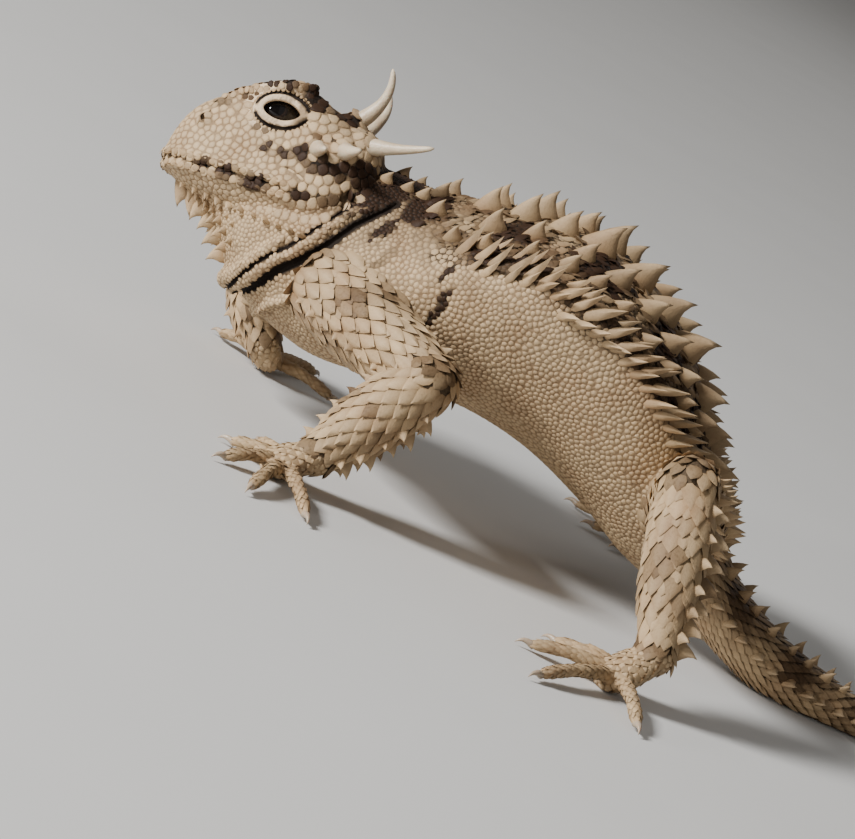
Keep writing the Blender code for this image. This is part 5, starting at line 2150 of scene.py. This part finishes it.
    def head_scales(self) -> list[bpy.types.Object]:
        """The plates of the head, smallest on the snout's sides and the throat.

        Returns:
            The pieces, still in millimetres.
        """
        sites = self.clear_sites(16.0)
        local = head_places(sites.points)
        crown = smooth_step(local[:, 2] + 0.1 * local[:, 0], 4.6, 6.6)
        rear = smooth_step(local[:, 0], -13.0, -19.0)
        below = smooth_step(local[:, 2] - 0.12 * local[:, 0], 0.0, -2.0)
        spacing = 0.68 + 0.32 * crown + 0.3 * rear - 0.08 * below
        brow = [point for path in self.skin.skull.ridge_paths() for point in dense_path(path, 4)]
        spacing = np.where(reach_of(sites.points, brow) > 1.35, spacing, 0.6)
        sites, spacing = self.close_fitted(sites, spacing, sites.on(Region.HEAD))
        LOG.info("%d head plates", len(sites))
        coat = self.coat("head_plates")
        coat.lay_pebbles(HEAD_PLATE, sites, spacing)
        return coat.build() + self.throat_scales() + self.lid_scales() + self.lip_scales()

    def throat_scales(self) -> list[bpy.types.Object]:
        """Pointed scales of the throat and the jaw's edge.

        Returns:
            The pieces, still in millimetres.
        """
        rows = []
        for degrees, height, spacing in self.gular_rows:
            angle = math.radians(degrees)
            for side in (1, -1) if degrees else (1,):
                way = (0.45, side * math.sin(angle), -math.cos(angle))
                back = 2.4 + degrees / 12.0 + self.rng.uniform(0.0, 0.5)
                while back < 13.6:
                    size = height * self.rng.uniform(0.85, 1.15)
                    rows.append((*self.skin.cast(back + 1.2, -1.5, way), head_way(0.1, 0.0, -1.0), size))
                    back += spacing * self.rng.uniform(0.9, 1.1)
        for side in Side:
            back = 3.2
            while back < 21.0:
                way = (-0.2 if back > 20.0 else 0.0, side.value, -0.25)
                size = (0.7 + 0.03 * back) * self.rng.uniform(0.85, 1.15)
                place = self.skin.cast(back, -1.9 - 0.14 * back, way)
                rows.append((*place, head_way(-1.0, 0.0, -0.45), size))
                back += 1.6 * self.rng.uniform(0.9, 1.1)
        sites, lies, heights = self.lattice.gather(rows)
        chosen = sites.on(Region.HEAD, Region.TRUNK)
        coat = self.coat("throat_scales")
        sizes = heights[chosen][:, None] * np.array((1.4, 0.8, 0.95))
        coat.lay(THORN, sites.pick(chosen), sizes, lie=lies[chosen], spin=0.2, tilt=0.35)
        return coat.build()

    def lid_scales(self) -> list[bpy.types.Object]:
        """A ring of small granules round the lids.

        Returns:
            The pieces, still in millimetres.
        """
        rows = []
        rim = math.pi * (self.skin.opening_length + self.skin.opening_height) / 2 + TAU * self.lid_grow
        for side in Side:
            middle, out = self.skin.lid_middle(side), head_way(0, side.value, 0)
            for offset in self.skin.lid_outline(self.lid_grow, int(rim / self.lid_spacing)):
                hit, normal, _, _ = self.skin.tree.ray_cast(middle + offset + out * 7.0, -out, 8.0)
                if hit is not None and (hit - middle).dot(out) > 0.6:
                    rows.append((hit, normal))
        sites = self.lattice.gather(rows)[0]
        coat = self.coat("lid_granules", Marking.SOFT)
        coat.lay(PLATE, sites, self.sizes(sites, self.lid_spacing * 0.98, 0.95, 0.22, 0.06), spin=math.pi)
        return coat.build()

    def lip_scales(self) -> list[bpy.types.Object]:
        """The row of scales along each lip.

        Returns:
            The pieces, still in millimetres.
        """
        rows, drop = [], self.skin.mouth_drop
        for rise in (self.lip_rise, -self.lip_rise):
            for side in (1, -1):
                back = 1.0
                while back < self.skin.mouth_corner:
                    place = self.skin.cast(back, rise - drop * back, (0.1, side, 0.0))
                    rows.append((*place, head_way(-1.0, 0.1 * side, -drop)))
                    back += self.lip_spacing * self.rng.uniform(0.94, 1.06)
        sites, ways = self.lattice.gather(rows)
        coat = self.coat("lip_scales")
        coat.lay(PLATE, sites, self.sizes(sites, 1.12, 0.78, 0.36, 0.06), lie=ways, spin=0.05)
        return coat.build()

    def mark_skin(self) -> None:
        """Gives the skin the attributes that its finish reads, with painted shade in the gaps between scales
        and in the creases.
        """
        mesh = self.skin.piece.data
        points = read_rows(mesh.vertices, "co", 3)
        here = self.anatomy.locate(points, points)
        # Painted shade in the gaps between scales: on the legs, the tail and the back above the fringe.
        gap_shade = 0.75 * here.on(Region.UPPER, Region.LOWER, Region.TAIL) * (points[:, 2] > 0.3)
        fringe = fringe_turn(here.station)
        ridge = smooth_step(here.turn, fringe + 0.2, fringe + 0.1) * (here.station > 6.0)
        gap_shade = np.maximum(gap_shade, 0.8 * ridge * here.on(Region.TRUNK))
        lids = smooth_step(eye_distance(points), 4.25, 4.0)
        # Painted shade in the creases and hollows: the throat's creases, the grooves round the lids, the
        # nostrils and the ears.
        deep = smooth_step(self.skin.crease_reach(points), 1.4, 1.0)
        marks = np.maximum(np.maximum(self.markings.at(here), gap_shade) * (1.0 - lids), deep)
        carry(mesh, mark=marks, tone=np.zeros(len(points)), rise=lids * (1.0 - deep))
        mesh.shade_smooth()


class Horns:
    """The horns of the head's rear edge, as smooth tapering tubes."""

    sides = 24
    steps = 22

    def build(self) -> dict[str, bpy.types.Object]:
        """Every horn, by the name of the CAD node that it stands for.

        Returns:
            Each horn by the name of the node that it replaces.
        """
        found = {}
        for horn in HORNS:
            for side in Side:
                path = horn.path(side, self.steps)
                path = [path[0] + (path[0] - path[1]) * 2.0, *path]
                radii = [horn.radius * self.profile(step / self.steps) for step in range(self.steps + 1)]
                piece = tube(f"{side.word}_{horn.name}", path, radii, self.sides)
                piece.data.shade_smooth()
                found[f"horn_{horn.name}_{side.word}"] = piece
        return found

    @staticmethod
    def profile(share: float) -> float:
        """A horn's radius along its length, as a share of its root's."""
        lengths, radii = (0.0, 0.28, 0.5, 0.72, 0.88, 0.96, 1.0), (1.0, 0.8, 0.56, 0.42, 0.31, 0.22, 0.06)
        return float(np.interp(share, lengths, radii))


class Eyes:
    """The two eyeballs, with an iris whose colour is worked out from the distance to its middle."""

    def build(self) -> dict[str, bpy.types.Object]:
        """Both eyes, by the name of the CAD node that each stands for.

        Returns:
            Each eye by the name of the node that it replaces.
        """
        found = {}
        for side in Side:
            piece = ball(f"{side.word}_eyeball", eye_centre(side), EYE_RADIUS, fine=64)
            middle = eye_centre(side) + head_way(0.12, side.value, 0.05) * EYE_RADIUS
            carry(piece.data, iris=[(vert.co - middle).length for vert in piece.data.vertices])
            piece.data.shade_smooth()
            found[f"eye_{side.word}"] = piece
        return found


class Claws:
    """The claws of each foot, one short curved cone to a digit."""

    def build(self) -> list[bpy.types.Object]:
        """One piece for each foot.

        Returns:
            The pieces, still in millimetres.
        """
        found = []
        for leg in LEGS:
            made = [self.claw(leg, digit) for digit in leg.digits]
            activate(made[0])
            for other in made[1:]:
                other.select_set(True)
            bpy.ops.object.join()
            made[0].name = f"{leg.name}_claws"
            made[0].data.shade_smooth()
            found.append(made[0])
        return found

    @staticmethod
    def claw(leg: Leg, digit: tuple[float, float]) -> bpy.types.Object:
        """One claw, which curves down to its point.

        Args:
            leg: The leg.
            digit: The digit that it ends.

        Returns:
            The claw, still in millimetres.
        """
        path = leg.toe_path(digit)
        tip = path[-1]
        outward = (path[-1] - path[-4]) * Vector((1, 1, 0))
        outward.normalize()
        curve = arc_points(
            tip - outward * 0.7,
            tip + outward * (0.6 * leg.claw_length) + Vector((0, 0, 0.6)),
            tip + outward * leg.claw_length + Vector((0, 0, -0.45)),
            9,
        )
        radii = [leg.claw_radius * (1.25 - 1.2 * (step / 8) ** 1.3) for step in range(9)]
        return tube("claw", curve, radii, 12)


class Nodes:
    """Short ways to add and join shader nodes in one material."""

    def __init__(self, name: str) -> None:
        """Makes the material and finds its shader.

        Args:
            name: The material's name.
        """
        self.material = bpy.data.materials.new(name)
        self.material.use_nodes = True
        self.tree = self.material.node_tree
        self.shader = self.tree.nodes["Principled BSDF"]

    def add(self, kind: str, links: dict | None = None, **values: object) -> bpy.types.Node:
        """Adds a node.

        Args:
            kind: Its type, without the words ShaderNode.
            links: What feeds its sockets: an output, or a plain value, by socket name or number.
            values: Its own settings.

        Returns:
            The node.
        """
        node = self.tree.nodes.new("ShaderNode" + kind)
        for name, value in values.items():
            setattr(node, name, value)
        for socket, source in (links or {}).items():
            self.feed(node.inputs[socket], source)
        return node

    def feed(self, socket: bpy.types.NodeSocket, source: object) -> None:
        """Links an output to a socket, or sets its value.

        Args:
            socket: The input.
            source: An output to link, or a value.
        """
        if isinstance(source, bpy.types.NodeSocket):
            self.tree.links.new(source, socket)
        else:
            socket.default_value = source

    def mix(self, share: object, low: object, high: object, blend: str = "MIX") -> bpy.types.NodeSocket:
        """A mix of two colours."""
        links = {0: share, 6: low, 7: high}
        return self.add("Mix", links, data_type="RGBA", blend_type=blend).outputs[2]

    def math(self, operation: str, *terms: object) -> bpy.types.NodeSocket:
        """A sum, product or the like of its terms, held between 0 and 1."""
        return self.add("Math", dict(enumerate(terms)), operation=operation, use_clamp=True).outputs[0]

    def attribute(self, name: str) -> bpy.types.NodeSocket:
        """A value that the mesh carries."""
        return self.add("Attribute", attribute_name=name).outputs["Fac"]

    def noise(self, scale: float, detail: float = 3.0) -> bpy.types.NodeSocket:
        """Noise on the piece's own place, with this many features to a metre."""
        place = self.add("TexCoord").outputs["Object"]
        return self.add("TexNoise", {"Vector": place, "Scale": scale, "Detail": detail}).outputs["Fac"]

    def cells(self, scale: float) -> bpy.types.NodeSocket:
        """The distance from the middle of fine cells."""
        place = self.add("TexCoord").outputs["Object"]
        return self.add("TexVoronoi", {"Vector": place, "Scale": scale}).outputs["Distance"]

    def bump(self, height: object, distance: float, strength: float = 1.0) -> bpy.types.NodeSocket:
        """A bump of this depth, in metres."""
        return self.add("Bump", {"Height": height, "Distance": distance, "Strength": strength}).outputs[0]

    def finish(self, sockets: dict[str, object]) -> bpy.types.Material:
        """Feeds the shader's sockets and gives the material.

        Args:
            sockets: An output or a value for each input of the shader.

        Returns:
            The material.
        """
        for name, source in sockets.items():
            self.feed(self.shader.inputs[name], source)
        return self.material


Colour = tuple[float, float, float, float]


@dataclass(frozen=True)
class HideFinish:
    """Dry scaly hide: pale buff with a darker brown-grey pattern, darker still with painted shade in the gaps
    between scales, and paler toward raised parts, partly their own colour and partly painted light.
    """

    name: str
    pale: Colour
    warm: Colour
    dark: Colour
    tip: Colour
    roughness: float
    grain: float  # cells to a metre
    depth: float
    tip_share: float = 0.5

    def build(self) -> bpy.types.Material:
        """The material.

        Returns:
            The material.
        """
        nodes = Nodes(self.name)
        speckle = nodes.math("MULTIPLY", nodes.math("SUBTRACT", nodes.noise(2600.0, 2.0), 0.5), 0.5)
        # The attribute read here holds the dark pattern together with painted shade.
        mark = nodes.math("ADD", nodes.attribute("mark"), speckle)
        ground = nodes.math("MULTIPLY", nodes.math("SUBTRACT", nodes.noise(210.0, 3.0), 0.4), 3.0)
        colour = nodes.mix(mark, nodes.mix(ground, self.pale, self.warm), self.dark)
        tone = nodes.math("MULTIPLY_ADD", nodes.attribute("tone"), 0.34, 0.5)
        colour = nodes.mix(tone, nodes.mix(0.34, colour, self.dark), colour)
        # Toward the tip colour as the rise value grows, less where it is dark: on scales, their own paler
        # tips together with painted light on what stands up; on the skin, pale lids.
        pale_tip_and_light = nodes.math("MULTIPLY_ADD", mark, -0.75, self.tip_share)
        pale_tip_and_light = nodes.math("MULTIPLY", nodes.attribute("rise"), pale_tip_and_light)
        return nodes.finish({
            "Base Color": nodes.mix(pale_tip_and_light, colour, self.tip),
            "Roughness": self.roughness,
            "Specular IOR Level": 0.14,
            "Normal": nodes.bump(nodes.cells(self.grain), self.depth),
        })


@dataclass(frozen=True)
class HornFinish:
    """Horn: mottled by noise between a darker and a paler tone, with a fine grain."""

    name: str
    pale: Colour
    dark: Colour
    roughness: float = 0.42

    def build(self) -> bpy.types.Material:
        """The material.

        Returns:
            The material.
        """
        nodes = Nodes(self.name)
        share = nodes.math("MULTIPLY_ADD", nodes.noise(420.0, 4.0), 1.4, -0.35)
        return nodes.finish({
            "Base Color": nodes.mix(share, self.dark, self.pale),
            "Roughness": self.roughness,
            "Subsurface Weight": 0.08,
            "Subsurface Scale": 0.001,
            "Normal": nodes.bump(nodes.noise(3200.0), 0.00008, 0.8),
        })


@dataclass(frozen=True)
class EyeFinish:
    """A wet dark eye: a black pupil in a dark brown iris."""

    name: str
    iris: Colour
    rim: Colour
    pupil_radius: float

    def build(self) -> bpy.types.Material:
        """The material.

        Returns:
            The material.
        """
        nodes = Nodes(self.name)
        ramp = nodes.add("ValToRGB", {0: nodes.math("MULTIPLY", nodes.attribute("iris"), 1.0 / EYE_RADIUS)})
        pupil, inner = ramp.color_ramp.elements
        pupil.position = self.pupil_radius / EYE_RADIUS
        pupil.color = (0.004, 0.003, 0.003, 1.0)
        inner.position = self.pupil_radius / EYE_RADIUS + 0.05
        inner.color = self.iris
        ramp.color_ramp.elements.new(0.62).color = self.rim
        grain = nodes.mix(nodes.noise(3500.0), (0.5, 0.5, 0.5, 1.0), (1.3, 1.3, 1.3, 1.0))
        return nodes.finish({
            "Base Color": nodes.mix(1.0, ramp.outputs[0], grain, "MULTIPLY"),
            "Roughness": 0.06,
            "Specular IOR Level": 0.15,
            "Coat Weight": 0.35,
            "Coat Roughness": 0.02,
        })


# In each hide, the fourth colour is that of raised parts, partly painted light, and the darkest colour also
# serves as painted shade.
SKIN_FINISH = HideFinish(
    "seam_hide", (0.36, 0.25, 0.145, 1.0), (0.27, 0.165, 0.085, 1.0), (0.014, 0.009, 0.006, 1.0),
    (0.62, 0.47, 0.31, 1.0), 0.8, 2600.0, 0.00008, 1.0
)
SCALE_FINISH = HideFinish(
    "scale_hide", (0.44, 0.3, 0.16, 1.0), (0.3, 0.175, 0.085, 1.0), (0.03, 0.015, 0.008, 1.0),
    (0.68, 0.52, 0.33, 1.0), 0.6, 5200.0, 0.00002
)
HORN_FINISH = HornFinish("horn", (0.7, 0.6, 0.44, 1.0), (0.4, 0.29, 0.18, 1.0))
CLAW_FINISH = HornFinish("claw", (0.55, 0.45, 0.33, 1.0), (0.3, 0.22, 0.15, 1.0), 0.38)
EYE_FINISH = EyeFinish("wet_eye", (0.022, 0.013, 0.008, 1.0), (0.008, 0.006, 0.005, 1.0), 1.1)


@dataclass
class Studio:
    """The pale floor, the soft lights and the camera of the photograph's view."""

    width: int = 855
    height: int = 839
    elevation: float = 12.0
    roll: float = 30.0
    lens: float = 150.0
    distance: float = 430.0
    anchor_pixel: tuple[float, float] = (610.0, 690.0)
    anchor: tuple[float, float, float] = (0.0, 36.0, 0.0)
    floor_size: float = 12.0

    def build(self, shift: Vector) -> None:
        """Sets up everything that isn't the animal.

        Args:
            shift: The frame's origin, in millimetres from the model's.
        """
        self.floor()
        self.lights()
        self.camera(shift)

    def floor(self) -> None:
        """A plain pale floor with a faint grain."""
        deselect_all()
        bpy.ops.mesh.primitive_plane_add(size=self.floor_size)
        made = bpy.context.object
        made.name = "studio_floor"
        nodes = Nodes("pale_floor")
        shade = nodes.mix(nodes.noise(30.0, 5.0), (0.60, 0.59, 0.57, 1.0), (0.64, 0.63, 0.61, 1.0))
        made.data.materials.append(nodes.finish({"Base Color": shade, "Roughness": 0.85}))

    def lights(self) -> None:
        """A large soft key before and above the head, a weak fill and pale surroundings."""
        for name, place, size, power in (
            ("key", (0.74, 0.42, 0.5), 0.18, 17.0),
            ("fill", (-0.4, 0.9, 0.5), 0.9, 0.7),
            ("back", (-0.3, -0.9, 0.8), 0.7, 1.6),
            ("glint", (0.72, 0.66, 0.14), 0.08, 2.6),
        ):
            deselect_all()
            bpy.ops.object.light_add(type="AREA", location=place)
            lamp = bpy.context.object
            lamp.name = name
            lamp.data.size = size
            lamp.data.energy = power
            lamp.rotation_euler = (-Vector(place)).to_track_quat("-Z", "Y").to_euler()
        world = bpy.data.worlds.new("soft_studio")
        bpy.context.scene.world = world
        world.use_nodes = True
        background = world.node_tree.nodes["Background"]
        background.inputs["Color"].default_value = (1.0, 0.98, 0.95, 1.0)
        background.inputs["Strength"].default_value = 0.16

    def camera(self, shift: Vector) -> None:
        """The camera, turned so that the floor's slope matches the photograph's.

        Args:
            shift: How far the frame's origin lies from the model's own.
        """
        tilt, turn = math.radians(self.elevation), math.radians(self.roll)
        ahead = Vector((0.0, -math.cos(tilt), -math.sin(tilt)))
        level = Vector((-1.0, 0.0, 0.0))
        rise = level.cross(ahead)
        right = level * math.cos(turn) + rise * math.sin(turn)
        up = right.cross(ahead)
        pixels = self.lens / 36.0 * max(self.width, self.height)
        across = (self.anchor_pixel[0] - self.width / 2) / pixels
        down = (self.anchor_pixel[1] - self.height / 2) / pixels
        anchor = Vector(self.anchor)
        ray = ahead + right * across - up * down
        place = anchor - ray * (self.distance + anchor.dot(ahead))
        deselect_all()
        bpy.ops.object.camera_add(location=(place + shift) * MM)
        camera = bpy.context.object
        camera.data.lens = self.lens
        camera.data.sensor_width = 36.0
        camera.data.clip_start = 0.01
        camera.data.clip_end = 50.0
        camera.rotation_euler = Matrix((right, up, -ahead)).transposed().to_euler()
        bpy.context.scene.camera = camera


def settle(piece: bpy.types.Object, shift: Vector, finish: bpy.types.Material) -> None:
    """Brings a piece to metres on the frame's origin, and gives it its finish and its body.

    Args:
        piece: The piece, in millimetres.
        shift: The frame's origin, in millimetres from the model's.
        finish: Its material.
    """
    piece.data.transform(Matrix.Scale(MM, 4) @ Matrix.Translation(shift))
    piece.data.materials.clear()
    piece.data.materials.append(finish)
    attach(piece, BODY)
    LOG.info("%s: %d faces", piece.name, len(piece.data.polygons))


def main() -> None:
    """Builds the animal, the studio and the camera."""
    logging.basicConfig(level=logging.INFO, format="%(relativeCreated)d ms %(message)s")
    shift = model_shift()
    trunk, skull = Trunk(), Skull()
    forms = [trunk.form(), skull.form(), *(form for leg in LEGS for form in leg.forms())]
    anatomy = Anatomy(forms)
    skin = Skin(trunk, skull, forms)
    hide = skin.build()
    dresser = Dresser(trunk, skin, anatomy)
    dresser.mark_skin()
    scales = SCALE_FINISH.build()
    for make in (dresser.granules, dresser.back_scales, dresser.large_spines, dresser.limb_scales,
                 dresser.tail_scales, dresser.head_scales):
        for piece in make():
            settle(piece, shift, scales)
    flesh = [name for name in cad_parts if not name.startswith(("eye", "horn"))]
    settle(hide, shift, SKIN_FINISH.build())
    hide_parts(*flesh)
    for kind, finish, slot in ((Horns(), HORN_FINISH.build(), "horn"), (Eyes(), EYE_FINISH.build(), "eye")):
        for node, piece in kind.build().items():
            settle(piece, shift, finish)
            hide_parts(node)
    claw = CLAW_FINISH.build()
    for piece in Claws().build():
        settle(piece, shift, claw)
    Studio().build(shift)


if __name__ == "__main__":
    main()
